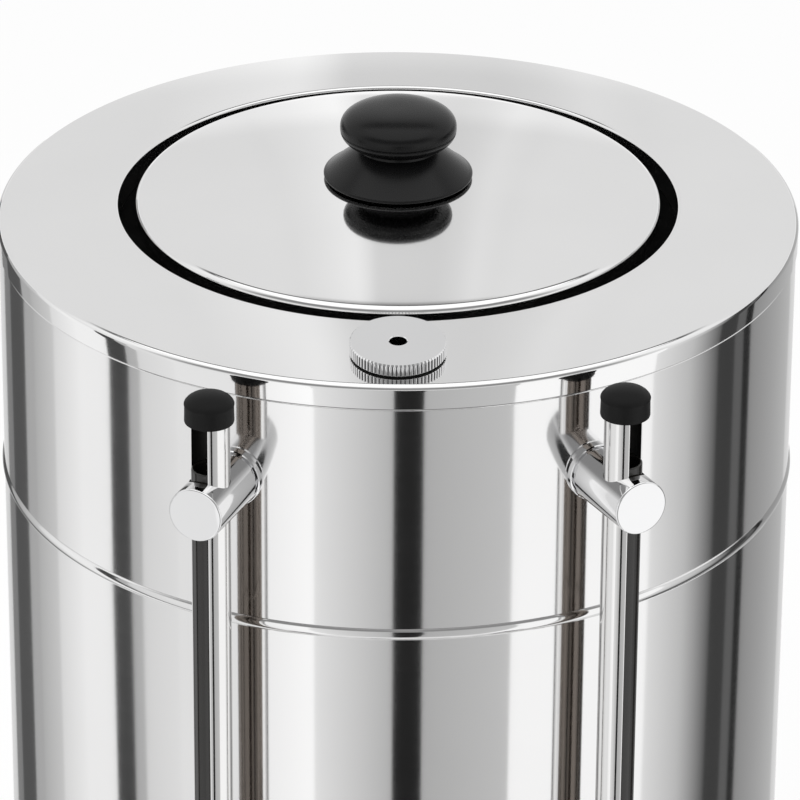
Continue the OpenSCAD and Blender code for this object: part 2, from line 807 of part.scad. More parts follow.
// A slab whose outline faces the front
module front_slab(points, y0, y1) {
    translate([0, y1, panel_z]) rotate([90, 0, 0]) linear_extrude(y1 - y0) polygon(points);
}

module control_panel() {
    face = round_rect(panel_w, panel_h, panel_round);
    color(black) difference() {
        front_slab(face, panel_y, 0);
        cylinder(r = shell_r, h = rim_z, $fn = fine);
        block([-pocket_w / 2, panel_back, panel_z - pocket_h / 2], [pocket_w / 2, 0, panel_z + pocket_h / 2]);
        rod_y(shaft_r + free_gap, panel_y - 1, 0, dial_x, panel_z);
        for (s = [-1, 1]) rod_y(lamp_r + seat_fit, panel_y - 1, 0, lamp_x, panel_z + s * lamp_step);
        translate([switch_x, panel_y, panel_z])
            cube([rocker_w + 2 * frame_w, 4 * panel_wall, rocker_l + 2 * frame_w], center = true);
    }
}

module thermostat_body() {
    size = [30, 24, 30];
    color("gray") difference() {
        translate([dial_x - size[0] / 2, panel_back, panel_z - size[2] / 2]) cube(size);
        rod_y(shaft_r + run_fit, panel_y, panel_back + shaft_depth, dial_x, panel_z);
    }
}

module thermostat_shaft() {
    end_gap = 1;
    color("gray") rod_y(shaft_r, panel_y - dial_gap - shaft_socket + end_gap,
        panel_back + shaft_depth - end_gap, dial_x, panel_z);
}

// A fluted knob with a pointer ridge across its face
module thermostat_knob() {
    flutes = 12;
    flute_r = 2;
    skirt = 3;
    ridge = [3, dial_h - skirt, 2 * dial_r - 8];
    front = panel_y - dial_gap;
    color(black) difference() {
        union() {
            rod_y(dial_r, front - skirt, front, dial_x, panel_z);
            rod_y(dial_r - 2, front - dial_h + 2, front, dial_x, panel_z);
            translate([dial_x - ridge[0] / 2, front - dial_h, panel_z - ridge[2] / 2]) cube(ridge);
        }
        for (i = [0:flutes - 1]) let (a = (i + 0.5) * ring_full / flutes)
            rod_y(flute_r, front - dial_h - 1, front - skirt,
                dial_x + dial_r * cos(a), panel_z + dial_r * sin(a));
        rod_y(shaft_r + seat_fit, front - shaft_socket, front + 1, dial_x, panel_z);
    }
}

module switch_body() {
    outer = [rocker_w + 2 * frame_w, rocker_l + 2 * frame_w];
    lap = 1;
    color(black) translate([switch_x, 0, 0]) difference() {
        union() {
            block([-outer[0] / 2 - lap, panel_y - frame_t, panel_z - outer[1] / 2 - lap],
                [outer[0] / 2 + lap, panel_y, panel_z + outer[1] / 2 + lap]);
            block([seat_fit - outer[0] / 2, panel_y, panel_z + seat_fit - outer[1] / 2],
                [outer[0] / 2 - seat_fit, panel_y + switch_depth, panel_z + outer[1] / 2 - seat_fit]);
        }
        block([-rocker_w / 2 - rocker_gap, panel_y - frame_t - 1, panel_z - rocker_l / 2 - rocker_gap],
            [rocker_w / 2 + rocker_gap, panel_y + switch_depth - 4, panel_z + rocker_l / 2 + rocker_gap]);
        translate([0, panel_y, 0])
            rod_x(rocker_pin_r + run_fit, -rocker_w / 2 - rocker_pin, rocker_w / 2 + rocker_pin, panel_z);
    }
}

// A rocker with two facets, pressed in at its lower half
module switch_rocker() {
    rise = 3;
    depth = 6;
    half = rocker_l / 2 - 0.6;
    tip = half * tan(rocker_tilt);
    color("firebrick") translate([switch_x, panel_y, panel_z]) rotate([rocker_tilt, 0, 0]) {
        rotate([90, 0, 90]) linear_extrude(rocker_w, center = true) polygon([
            [-rise, half], [tip - rise, 0], [-rise, -half],
            [depth - tip, -half], [depth, 0], [depth - tip, half]
        ]);
        rotate([0, 90, 0])
            cylinder(r = rocker_pin_r, h = rocker_w + 2 * rocker_pin - rocker_gap, center = true);
    }
}

// A domed lamp lens through the panel
module lamp(z) {
    lens_t = 2.4;
    translate([lamp_x, panel_y, z]) rotate([90, 0, 0]) rotate_extrude() polygon(concat(
        [[0, -panel_wall - 4], [lamp_r, -panel_wall - 4], [lamp_r, 0], [lamp_r + 1, 0]],
        [for (i = [0:arc_steps]) let (t = 90 * i / arc_steps)
            [i < arc_steps ? (lamp_r + 1) * cos(t) : 0, lens_t * sin(t) + 0.4]]
    ));
}

module power_lamp() {
    color("orange") lamp(panel_z + lamp_step);
}

module heating_lamp() {
    color("red") lamp(panel_z - lamp_step);
}

// A gland with a hexagon body, a tapered clamping nut and a free cable bore
module cable_gland() {
    lap = 1;
    color(black) difference() {
        union() {
            rod_y(gland_r, shell_in - gland_tail, shell_r + lap, 0, gland_z);
            translate([0, shell_r, gland_z]) rotate([-90, 30, 0])
                cylinder(r = gland_r + gland_collar, h = gland_body, $fn = 6);
            translate([0, shell_r + gland_body - lap, gland_z]) rotate([-90, 0, 0])
                cylinder(r1 = gland_r + gland_collar / 2, r2 = gland_r, h = gland_dome + lap);
        }
        rod_y(gland_bore_r, tank_r, shell_r + gland_body + gland_dome + 1, 0, gland_z);
    }
}

module gland_nut() {
    across = gland_r + gland_collar;
    face = shell_in - sagitta(across, shell_in);
    color(black) difference() {
        translate([0, face - gland_nut_t, gland_z]) rotate([-90, 30, 0])
            cylinder(r = across, h = gland_nut_t, $fn = 6);
        rod_y(gland_r + seat_fit, tank_r, shell_r, 0, gland_z);
    }
}

// A turned arm with a collar and groove at the shell, a flat nose and a bore for the gauge
module gauge_arm(side) {
    groove_x = shell_r + arm_collar_t;
    color(chrome) facing(side * gauge_angle) difference() {
        union() {
            rod_x(arm_r, groove_x + arm_groove_w, arm_end, arm_z);
            rod_x(arm_r - arm_groove_d, groove_x - 1, groove_x + arm_groove_w + 1, arm_z);
            difference() {
                rod_x(arm_collar_r, shell_in, groove_x, arm_z);
                facing_back(side * gauge_angle) cylinder(r = shell_r, h = rim_z, $fn = fine);
            }
            rod_x(arm_stud_r, shell_in - stud_in, groove_x, arm_z);
        }
        translate([gauge_r, 0, arm_z]) cylinder(r = shield_r + seat_fit, h = 4 * arm_r, center = true);
    }
}

module arm_nuts() {
    face = shell_in - sagitta(arm_nut, shell_in);
    color(chrome) for (s = sides) facing(s[1] * gauge_angle)
        hex_x(arm_nut, face - nut_t, face, arm_z, arm_stud_r + seat_fit);
}

// A tube with a wide slot, from its seat in the tap up into the rubber cap
module gauge_shield(side) {
    span = slot_span / 2;
    far = 2 * shield_r;
    color(chrome) facing(side * gauge_angle) translate([gauge_r, 0, 0]) difference() {
        ring(shield_r - shield_wall, shield_r, shield_foot, shield_top);
        rotate([0, 0, side * slot_turn]) translate([0, 0, slot_foot]) linear_extrude(rim_z) polygon([
            [0, 0], [far * cos(span), -far * sin(span)], [far, -far * sin(span)],
            [far, far * sin(span)], [far * cos(span), far * sin(span)]
        ]);
    }
}

module sight_glass(side) {
    color(smoke) facing(side * gauge_angle) translate([gauge_r, 0, 0])
        ring(glass_r - glass_wall, glass_r, tap_z + glass_seat, glass_top);
}

module glass_seals() {
    color(rubber) for (s = sides) facing(s[1] * gauge_angle) translate([gauge_r, 0, 0])
        ring(glass_r + seat_fit, shield_r, tap_z + glass_seat, shield_foot);
}

// A rubber cap that slips over the shield's top
module gauge_cap(side) {
    edge = 3;
    foot_z = rim_z - cap_h;
    color(rubber) facing(side * gauge_angle) translate([gauge_r, 0, 0]) difference() {
        rotate_extrude() polygon(concat(
            [[0, foot_z], [cap_r - 0.5, foot_z], [cap_r, foot_z + 0.5]],
            arc(cap_r - edge, rim_z - cap_dome, edge, 0, 60, 4),
            [[cap_r / 2, rim_z - 0.4], [0, rim_z]]
        ));
        translate([0, 0, foot_z - 1]) cylinder(r = shield_r + run_fit, h = cap_h - cap_dome + 1 + free_gap);
    }
}

// The inner end of a tap's shank
function shank_end(side) = (side < 0 ? left_nut : right_nut) - shank_nut_t - shank_tail;

// Threaded shank, flange, barrel, gauge socket and the spigot that the valve's body is screwed on
module tap_shank(side) {
    color(chrome) facing(side * gauge_angle) difference() {
        union() {
            rod_x(shank_r, shank_end(side), flange_x + 1, tap_z);
            rod_x(flange_r, flange_x, flange_x + flange_t, tap_z);
            rod_x(barrel_r, flange_x, boss_x, tap_z);
            rod_x(spigot_r, boss_x - 1, boss_x + spigot_l, tap_z);
            translate([gauge_r, 0, tap_z - socket_r - socket_foot])
                cylinder(r = socket_r, h = socket_h + socket_r + socket_foot);
        }
        rod_x(flow_r, shank_end(side) - 1, boss_x + spigot_l + 1, tap_z);
        translate([gauge_r, 0, tap_z]) cylinder(r = glass_r - glass_wall, h = socket_h + 1);
        translate([gauge_r, 0, tap_z + glass_seat]) cylinder(r = shield_r + seat_fit, h = socket_h);
    }
}

// Valve chamber and spout, with a boss on the side for the shank's spigot
module tap_body(side) {
    color(chrome) facing(side * gauge_angle) difference() {
        union() {
            rod_x(boss_r, boss_x, valve_x, tap_z);
            translate([valve_x, 0, seat_z - seat_t]) cylinder(r = valve_r, h = chamber_top - seat_z + seat_t);
            translate([valve_x, 0, seat_z - seat_t - valve_wall])
                cylinder(r1 = spout_r, r2 = valve_r, h = valve_wall);
            translate([valve_x, 0, spout_z]) cylinder(r = spout_r, h = spout_l);
        }
        rod_x(spigot_r + seat_fit, boss_x - 1, boss_x + spigot_l + seat_fit, tap_z);
        rod_x(flow_r, boss_x, valve_x, tap_z);
        translate([valve_x, 0, seat_z]) cylinder(r = chamber_r, h = chamber_top - seat_z + 1);
        translate([valve_x, 0, spout_z - 1]) cylinder(r = outlet_r, h = spout_l + 2);
    }
}

module tap_gaskets() {
    color(rubber) for (s = sides) difference() {
        facing(s[1] * gauge_angle) rod_x(flange_r, shell_in, shell_r + tap_gasket_t, tap_z);
        cylinder(r = shell_r, h = rim_z, $fn = fine);
        facing(s[1] * gauge_angle) rod_x(shank_r + seat_fit, tank_r, shell_r + flange_r, tap_z);
    }
}

module tap_nuts() {
    color(brass) for (s = sides) let (face = s[1] < 0 ? left_nut : right_nut)
        facing(s[1] * gauge_angle) hex_x(shank_nut, face - shank_nut_t, face, tap_z, shank_r + seat_fit);
}

// A fluted screw cap that guides the stem and carries the lever's cam
module tap_bonnet(side) {
    flutes = 18;
    flute_r = 1.2;
    color(chrome) facing(side * gauge_angle) translate([valve_x, 0, 0]) difference() {
        union() {
            translate([0, 0, chamber_top - plug_l]) cylinder(r = chamber_r - seat_fit, h = plug_l + 1);
            translate([0, 0, chamber_top]) cylinder(r = valve_r, h = bonnet_h);
        }
        translate([0, 0, chamber_top - plug_l - 1]) cylinder(r = stem_r + run_fit, h = plug_l + bonnet_h + 2);
        for (i = [0:flutes - 1]) rotate([0, 0, (i + 0.5) * ring_full / flutes])
            translate([valve_r + flute_r / 2, 0, chamber_top + 2]) cylinder(r = flute_r, h = bonnet_h - 4);
    }
}

// A stem with its rubber cup on the seat, drilled for the lever's pin
module tap_stem(side) {
    color(brass) facing(side * gauge_angle) translate([valve_x, 0, 0]) difference() {
        union() {
            translate([0, 0, seat_z]) cylinder(r = cup_r, h = cup_h);
            translate([0, 0, seat_z]) cylinder(r = stem_r, h = pin_z + stem_head - seat_z);
        }
        rod_y(pin_r + seat_fit, -2 * stem_r, 2 * stem_r, 0, pin_z);
    }
}

// A point on the spring's wire, by its place along the coil and round the wire
function spring_point(i, j) =
    let (a = ring_full * spring_turns * i / spring_steps, b = ring_full * j / spring_sides)
    let (r = spring_r + spring_wire / 2 * cos(b))
    [r * cos(a), r * sin(a), spring_foot + (spring_head - spring_foot) * i / spring_steps
        + spring_wire / 2 * sin(b)];

// A helical spring between the cup and the bonnet
module tap_spring(side) {
    n = spring_sides;
    points = [for (i = [0:spring_steps]) for (j = [0:n - 1]) spring_point(i, j)];
    walls = [for (i = [0:spring_steps - 1]) for (j = [0:n - 1]) for (half = [0, 1])
        let (a = i * n + j, b = i * n + (j + 1) % n) half == 0 ? [a, a + n, b] : [b, a + n, b + n]];
    foot = [for (j = [1:n - 2]) [0, j, j + 1]];
    head = [for (j = [1:n - 2]) [0, j + 1, j] + spring_steps * n * [1, 1, 1]];
    color("silver") facing(side * gauge_angle) translate([valve_x, 0, 0])
        polyhedron(points, concat(walls, foot, head));
}

// A forked lever: two cam cheeks on the pin and a tapered paddle above
module tap_lever(side) {
    root_z = hub_r - 1;
    tip_r = paddle_t / 2;
    lean = lever_lean;
    top_x = lever_l * sin(lean);
    top_z = lever_l * cos(lean);
    profile = concat(
        [[-hub_r, root_z - 2], [hub_r + 2, root_z - 2]],
        arc(top_x - tip_r * sin(lean), top_z - tip_r, tip_r, -lean, 180 - lean)
    );
    front = concat(
        [[-fork_w / 2, 0], [fork_w / 2, 0], [paddle_w / 2, lever_l / 2]],
        arc(0, lever_l - paddle_w / 2, paddle_w / 2, 0, 180),
        [[-paddle_w / 2, lever_l / 2]]
    );
    color(black) facing(side * gauge_angle) translate([valve_x, 0, pin_z]) difference() {
        union() {
            intersection() {
                rotate([90, 0, 0]) linear_extrude(2 * paddle_w, center = true) polygon(profile);
                rotate([90, 0, 90]) linear_extrude(4 * lever_l, center = true) polygon(front);
            }
            rotate([90, 0, 0]) linear_extrude(fork_w, center = true) {
                circle(r = hub_r);
                translate([cam_offset, 0]) circle(r = cam_r);
            }
        }
        block([-2 * cam_r, -lever_gap / 2, -2 * cam_r], [3 * cam_r, lever_gap / 2, fork_top]);
        rod_y(pin_r + run_fit, -fork_w, fork_w, 0, 0);
    }
}

module tap_pin(side) {
    color("silver") facing(side * gauge_angle) translate([valve_x, 0, pin_z])
        rod_y(pin_r, -fork_w / 2, fork_w / 2, 0, 0);
}

top_deck();
upper_shell();
body_bead();
lower_shell();
base_plate();
foot_ring();
base_screws();
coffee_vessel();
jacket_tank();
insulation_sleeve();
mouth_gasket();
outlet_sleeve();
heating_element();
element_nuts();
overheat_cutout();
terminal_block();
filler_neck();
filler_seal();
filler_cap();
lid();
lid_knob();
lid_knob_screw();
brew_basket();
basket_screen();
control_panel();
thermostat_body();
thermostat_shaft();
thermostat_knob();
switch_body();
switch_rocker();
power_lamp();
heating_lamp();
cable_gland();
gland_nut();
arm_nuts();
glass_seals();
tap_gaskets();
tap_nuts();
for (s = sides) {
    gauge_arm(s[1]);
    gauge_shield(s[1]);
    sight_glass(s[1]);
    gauge_cap(s[1]);
    tap_shank(s[1]);
    tap_body(s[1]);
    tap_bonnet(s[1]);
    tap_stem(s[1]);
    tap_spring(s[1]);
    tap_lever(s[1]);
    tap_pin(s[1]);
}
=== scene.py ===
"""Dresses the coffee urn: polished casing, domed lid, two gauges that end in lever taps, and a studio."""
import json
import logging
import math
from contextlib import contextmanager
from dataclasses import dataclass
from enum import Enum
from typing import Callable, Iterator, Mapping, Sequence

import bmesh
import bpy
from mathutils import Matrix, Vector


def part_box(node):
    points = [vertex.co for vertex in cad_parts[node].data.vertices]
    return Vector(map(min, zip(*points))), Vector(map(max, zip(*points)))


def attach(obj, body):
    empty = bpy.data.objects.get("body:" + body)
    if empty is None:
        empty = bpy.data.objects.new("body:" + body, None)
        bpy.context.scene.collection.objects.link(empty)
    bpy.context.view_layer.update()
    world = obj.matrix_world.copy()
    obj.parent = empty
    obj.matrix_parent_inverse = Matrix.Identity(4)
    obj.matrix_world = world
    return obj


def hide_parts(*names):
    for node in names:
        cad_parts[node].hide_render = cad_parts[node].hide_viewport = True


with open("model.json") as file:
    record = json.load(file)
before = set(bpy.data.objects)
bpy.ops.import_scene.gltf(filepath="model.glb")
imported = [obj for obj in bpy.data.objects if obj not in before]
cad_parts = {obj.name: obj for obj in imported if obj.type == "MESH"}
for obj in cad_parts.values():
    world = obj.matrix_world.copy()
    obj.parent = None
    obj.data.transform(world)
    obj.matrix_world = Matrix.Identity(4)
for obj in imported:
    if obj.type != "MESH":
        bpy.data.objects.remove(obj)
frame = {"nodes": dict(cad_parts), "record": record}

LOG = logging.getLogger("urn")
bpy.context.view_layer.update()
MM = 0.001
WELD = 1e-6
SMOOTH = math.radians(30)

Piece = bpy.types.Object
Socket = bpy.types.NodeSocket
Point = tuple[float, float]
Colour = tuple[float, float, float]


class Side(Enum):
    """Which of the two gauges and taps, by the sign of its turn round the urn."""

    LEFT = -1
    RIGHT = 1

    def node(self, name: str) -> str:
        """The CAD node's or body's name on this side."""
        return f"{self.name.lower()}_{name}"


class Domain(Enum):
    """What an edit-mode selection picks."""

    VERT = "verts"
    EDGE = "edges"
    FACE = "faces"


class Lay(Enum):
    """The way that the lines of a worked metal surface run."""

    ROUND = "round the urn"
    ALONG = "up and down"
    PLAIN = "no lines"


def top(node: str) -> float:
    """The height of a CAD node's top, in millimetres."""
    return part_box(node)[1].z / MM


def foot(node: str) -> float:
    """The height of a CAD node's foot, in millimetres."""
    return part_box(node)[0].z / MM


def reach(node: str) -> float:
    """The outer radius of a CAD node that stands round the urn's axis, in millimetres."""
    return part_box(node)[1].x / MM


def arc(x: float, y: float, r: float, start: float, end: float, steps: int = 8) -> list[Point]:
    """Points along an arc.

    Args:
        x, y: the arc's centre.
        r: its radius.
        start, end: its angles in degrees.
        steps: the number of its chords.
    Returns:
        The points, both ends included.
    """
    turns = [math.radians(start + (end - start) * i / steps) for i in range(steps + 1)]
    return [(x + r * math.cos(a), y + r * math.sin(a)) for a in turns]


def facing(angle: float) -> Matrix:
    """Turns +X to point outwards at an angle in degrees round the urn from its front."""
    return Matrix.Rotation(math.radians(angle - 90), 4, "Z")


def move(x: float, y: float, z: float) -> Matrix:
    """A shift in millimetres."""
    return Matrix.Translation(Vector((x, y, z)) * MM)


LYING = Matrix.Rotation(math.radians(90), 4, "Y")
FRONTWARD = Matrix.Rotation(math.radians(90), 4, "X")


def alone(piece: Piece) -> None:
    """Makes a piece the only selected one, and active.

    Args:
        piece: the piece.
    """
    bpy.ops.object.select_all(action="DESELECT")
    piece.select_set(True)
    bpy.context.view_layer.objects.active = piece


@contextmanager
def editing(piece: Piece, domain: Domain = Domain.VERT) -> Iterator[Piece]:
    """Holds a piece in edit mode.

    Args:
        piece: the piece to edit.
        domain: what is selected there.
    Returns:
        The same piece, in edit mode until the block ends.
    """
    alone(piece)
    bpy.ops.object.mode_set(mode="EDIT")
    bpy.ops.mesh.select_mode(type=domain.name)
    yield piece
    bpy.ops.object.mode_set(mode="OBJECT")


def pick(piece: Piece, domain: Domain, test: Callable[[Vector], bool]) -> int:
    """Selects what passes a test of its place, in edit mode.

    Args:
        piece: a piece in edit mode.
        domain: vertices, edges or faces.
        test: tells from a place in millimetres whether to select.
    Returns:
        How many were selected.
    """
    mesh = bmesh.from_edit_mesh(piece.data)
    bpy.ops.mesh.select_all(action="DESELECT")
    count = 0
    for item in getattr(mesh, domain.value):
        if domain is Domain.VERT:
            place = item.co
        elif domain is Domain.EDGE:
            place = (item.verts[0].co + item.verts[1].co) / 2
        else:
            place = item.calc_center_median()
        if test(place / MM):
            item.select_set(True)
            count += 1
    mesh.select_flush_mode()
    bmesh.update_edit_mesh(piece.data)
    return count


def speck(name: str) -> Piece:
    """Starts a piece as a plane at the origin, merged to one vertex.

    Args:
        name: the piece's name.
    Returns:
        The new piece.
    """
    bpy.ops.object.select_all(action="DESELECT")
    bpy.ops.mesh.primitive_plane_add(size=MM)
    piece = bpy.context.active_object
    piece.name = name
    piece.data.name = name
    with editing(piece):
        bpy.ops.mesh.select_all(action="SELECT")
        bpy.ops.mesh.merge(type="CENTER")
    return piece


def trace(path: Sequence[Vector]) -> None:
    """Extrudes the selected vertex along a path, in edit mode.

    Args:
        path: the places that it passes, in metres.
    """
    bpy.ops.transform.translate(value=path[0])
    for here, there in zip(path, path[1:]):
        bpy.ops.mesh.extrude_region_move(TRANSFORM_OT_translate={"value": there - here})
    bpy.ops.mesh.select_all(action="SELECT")
    bpy.ops.mesh.remove_doubles(threshold=WELD)


def tidy(piece: Piece, angle: float = SMOOTH) -> Piece:
    """Merges doubles, turns faces outwards and smooths all but sharp edges.

    Args:
        piece: the piece to change.
        angle: the least angle between faces, in radians, that stays sharp.
    Returns:
        The same piece.
    """
    with editing(piece):
        bpy.ops.mesh.select_all(action="SELECT")
        bpy.ops.mesh.remove_doubles(threshold=WELD)
        bpy.ops.mesh.normals_make_consistent(inside=False)
    alone(piece)
    bpy.ops.object.shade_smooth_by_angle(angle=angle)
    return piece


def turned(name: str, outline: Sequence[Point], steps: int = 192, ring: bool = False) -> Piece:
    """Spins an outline about the Z axis.

    Args:
        name: the piece's name.
        outline: points of radius and height, in millimetres.
        steps: the number of steps round the axis.
        ring: whether the outline closes on itself, and doesn't end on the axis.
    Returns:
        The new piece.
    """
    piece = speck(name)
    path = [Vector((r * MM, 0, z * MM)) for r, z in outline]
    if ring:
        path.append(path[0])
    with editing(piece):
        bpy.ops.mesh.select_all(action="SELECT")
        trace(path)
        bpy.ops.mesh.spin(steps=steps, angle=math.tau, center=(0, 0, 0), axis=(0, 0, 1))
    return tidy(piece)


def prism(name: str, outline: Sequence[Point], depth: float) -> Piece:
    """Extrudes a closed outline of X and Z both ways along Y.

    Args:
        name: the piece's name.
        outline: points of X and Z, in millimetres.
        depth: the whole depth along Y, in millimetres.
    Returns:
        The new piece.
    """
    piece = speck(name)
    path = [Vector((x * MM, -depth / 2 * MM, z * MM)) for x, z in outline]
    with editing(piece):
        bpy.ops.mesh.select_all(action="SELECT")
        trace(path + path[:1])
        bpy.ops.mesh.edge_face_add()
        bpy.ops.mesh.extrude_region_move(TRANSFORM_OT_translate={"value": (0, depth * MM, 0)})
    return tidy(piece)


def apply(piece: Piece, kind: str, **settings: object) -> Piece:
    """Adds a modifier with its settings and applies it.

    Args:
        piece: the piece to change.
        kind: the modifier's type.
        settings: its properties.
    Returns:
        The same piece.
    """
    modifier = piece.modifiers.new(kind.lower(), kind)
    for key, value in settings.items():
        setattr(modifier, key, value)
    alone(piece)
    bpy.ops.object.modifier_apply(modifier=modifier.name)
    return piece


def combine(piece: Piece, other: Piece, operation: str) -> Piece:
    """Cuts, joins or intersects a piece with another, which is used up.

    Args:
        piece: the piece that stays.
        other: the piece that is used up.
        operation: DIFFERENCE, UNION or INTERSECT.
    Returns:
        The piece that stays.
    """
    apply(piece, "BOOLEAN", operation=operation, object=other, solver="EXACT")
    bpy.data.objects.remove(other)
    return tidy(piece)


def eased(piece: Piece, width: float, segments: int = 3, angle: float = 40) -> Piece:
    """Rounds a piece's sharp edges.

    Args:
        piece: the piece to change.
        width: the rounding's width, in millimetres.
        segments: its number of facets.
        angle: the least angle in degrees between faces that gets rounded.
    Returns:
        The same piece.
    """
    apply(piece, "BEVEL", width=width * MM, segments=segments, limit_method="ANGLE",
          angle_limit=math.radians(angle), miter_outer="MITER_ARC")
    return tidy(piece, math.radians(35))


def place(piece: Piece, matrix: Matrix) -> Piece:
    """Puts a piece in place, and its place in its mesh.

    Args:
        piece: the piece to move.
        matrix: its place.
    Returns:
        The same piece.
    """
    piece.matrix_world = matrix
    alone(piece)
    bpy.ops.object.transform_apply(location=True, rotation=True, scale=True)
    return piece


def scallop(piece: Piece, steps: int, shares: Sequence[float], depth: float, r: float,
            on_wall: Callable[[Vector], bool]) -> Piece:
    """Presses a repeated row of hollows into a turned wall.

    Args:
        piece: a piece turned about Z.
        steps: its steps round the axis, a multiple of the row's length.
        shares: the row, one share of the depth for each step.
        depth: the hollows' depth in millimetres.
        r: the wall's radius in millimetres.
        on_wall: tells from a place in millimetres whether it is on the wall.
    Returns:
        The same piece.
    """
    with editing(piece):
        for phase, share in enumerate(shares):

            def on_phase(p: Vector) -> bool:
                """Whether a place is on the wall, at this step of the row."""
                step = round(math.atan2(p.y, p.x) / math.tau * steps)
                return on_wall(p) and step % len(shares) == phase

            if share > 0 and pick(piece, Domain.VERT, on_phase):
                size = 1 - depth * share / r
                bpy.ops.transform.resize(value=(size, size, 1), center_override=(0, 0, 0))
    return tidy(piece)


class Graph:
    """A node tree, with short ways to add to it."""

    def __init__(self, tree: bpy.types.NodeTree) -> None:
        """Holds a tree."""
        self.tree = tree

    def feed(self, target: Socket, value: object) -> None:
        """Gives an input its value.

        Args:
            target: the input.
            value: a number or colour, or the output that it comes from.
        """
        if isinstance(value, Socket):
            self.tree.links.new(value, target)
        else:
            target.default_value = value

    def add(self, kind: str, inputs: Mapping[str | int, object] | None = None,
            **settings: object) -> bpy.types.Node:
        """Adds a node.

        Args:
            kind: the node's type, without its prefix.
            inputs: its inputs' values, by name or number.
            settings: its properties.
        Returns:
            The node.
        """
        node = self.tree.nodes.new("ShaderNode" + kind)
        for key, value in settings.items():
            setattr(node, key, value)
        for key, value in (inputs or {}).items():
            self.feed(node.inputs[key], value)
        return node

    def math(self, operation: str, first: object, second: object = 0.0) -> Socket:
        """The result of a sum on two numbers or outputs."""
        return self.add("Math", {0: first, 1: second}, operation=operation).outputs[0]

    def remap(self, value: Socket, start: float, end: float, low: float = 0.0, high: float = 1.0) -> Socket:
        """Carries a value from one range to another.

        Args:
            value: the value.
            start, end: the range that it has.
            low, high: the range that it gets.
        Returns:
            The new value.
        """
        inputs = {"Value": value, "From Min": start, "From Max": end, "To Min": low, "To Max": high}
        return self.add("MapRange", inputs).outputs["Result"]

    def mix(self, part: object, first: object, second: object, kind: str = "MIX") -> Socket:
        """Mixes or multiplies two colours.

        Args:
            part: the second colour's share.
            first, second: the colours, or the outputs that they come from.
            kind: MIX or MULTIPLY.
        Returns:
            The new colour.
        """
        inputs = {"Factor": part, "A": first, "B": second}
        return self.add("Mix", inputs, data_type="RGBA", blend_type=kind).outputs["Result"]

    def greys(self, value: Socket, stops: Sequence[Point]) -> Socket:
        """A ramp of greys over a value.

        Args:
            value: the value.
            stops: places from 0 to 1, each with its tone.
        Returns:
            The grey.
        """
        ramp = self.add("ValToRGB", {"Fac": value})
        elements = ramp.color_ramp.elements
        while len(elements) < len(stops):
            elements.new(0.5)
        for stop, (position, tone) in zip(elements, stops):
            stop.position = position
            stop.color = (tone, tone, tone, 1)
        return ramp.outputs["Color"]


class Surface(Graph):
    """A material's node tree round one Principled shader, on Object coordinates."""

    noise_middle: Point = (0.3, 0.7)
    round_drift: float = 0.002
    along_drift: float = 0.01

    def __init__(self, name: str) -> None:
        """Starts the material.

        Args:
            name: its name.
        """
        self.material = bpy.data.materials.new(name)
        self.material.use_nodes = True
        super().__init__(self.material.node_tree)
        self.shader = self.tree.nodes["Principled BSDF"]
        self.coords = self.add("TexCoord").outputs["Object"]

    def set(self, **values: object) -> None:
        """Gives the shader's inputs, named with underscores for spaces, their values."""
        for key, value in values.items():
            self.feed(self.shader.inputs[key.replace("_", " ")], value)

    def show(self, shader: Socket) -> None:
        """Shows another shader instead of the Principled one."""
        self.tree.nodes.remove(self.shader)
        self.feed(self.tree.nodes["Material Output"].inputs["Surface"], shader)

    def noise(self, vector: Socket, scale: float, detail: float = 3.0) -> Socket:
        """The factor of a Noise texture on some coordinates."""
        return self.add("TexNoise", {"Vector": vector, "Scale": scale, "Detail": detail}).outputs["Fac"]

    def spread(self, value: Socket, low: float, high: float) -> Socket:
        """Stretches a noise's middle range to lie between two numbers."""
        return self.remap(value, *self.noise_middle, low, high)

    def tint(self, value: Socket, low: Colour, high: Colour) -> None:
        """Colours the shader between two tints by a noise."""
        self.set(Base_Color=self.mix(self.spread(value, 0, 1), (*low, 1), (*high, 1)))

    def bump(self, height: Socket, depth: float) -> None:
        """Raises the surface by a height whose full depth is in metres."""
        inputs = {"Strength": 1, "Distance": depth, "Height": height}
        self.set(Normal=self.add("Bump", inputs).outputs["Normal"])

    def lines(self, lay: Lay) -> Socket:
        """Coordinates that hardly change along the lay, so that a noise on them draws its lines.

        Args:
            lay: the way that the lines run.
        Returns:
            The coordinates.
        """
        if lay is Lay.PLAIN:
            return self.coords
        split = self.add("SeparateXYZ", {0: self.coords}).outputs
        if lay is Lay.ROUND:
            squares = [self.math("POWER", split[axis], 2.0) for axis in ("X", "Y")]
            radius = self.math("SQRT", self.math("ADD", *squares))
            turn = self.math("ARCTAN2", split["Y"], split["X"])
            parts = (radius, split["Z"], self.math("MULTIPLY", turn, self.round_drift))
        else:
            parts = (split["X"], split["Y"], self.math("MULTIPLY", split["Z"], self.along_drift))
        return self.add("CombineXYZ", dict(enumerate(parts))).outputs[0]


def scaled(colour: Colour, share: float) -> Colour:
    """A colour made lighter or darker by a share."""
    return tuple(min(1.0, c * share) for c in colour)


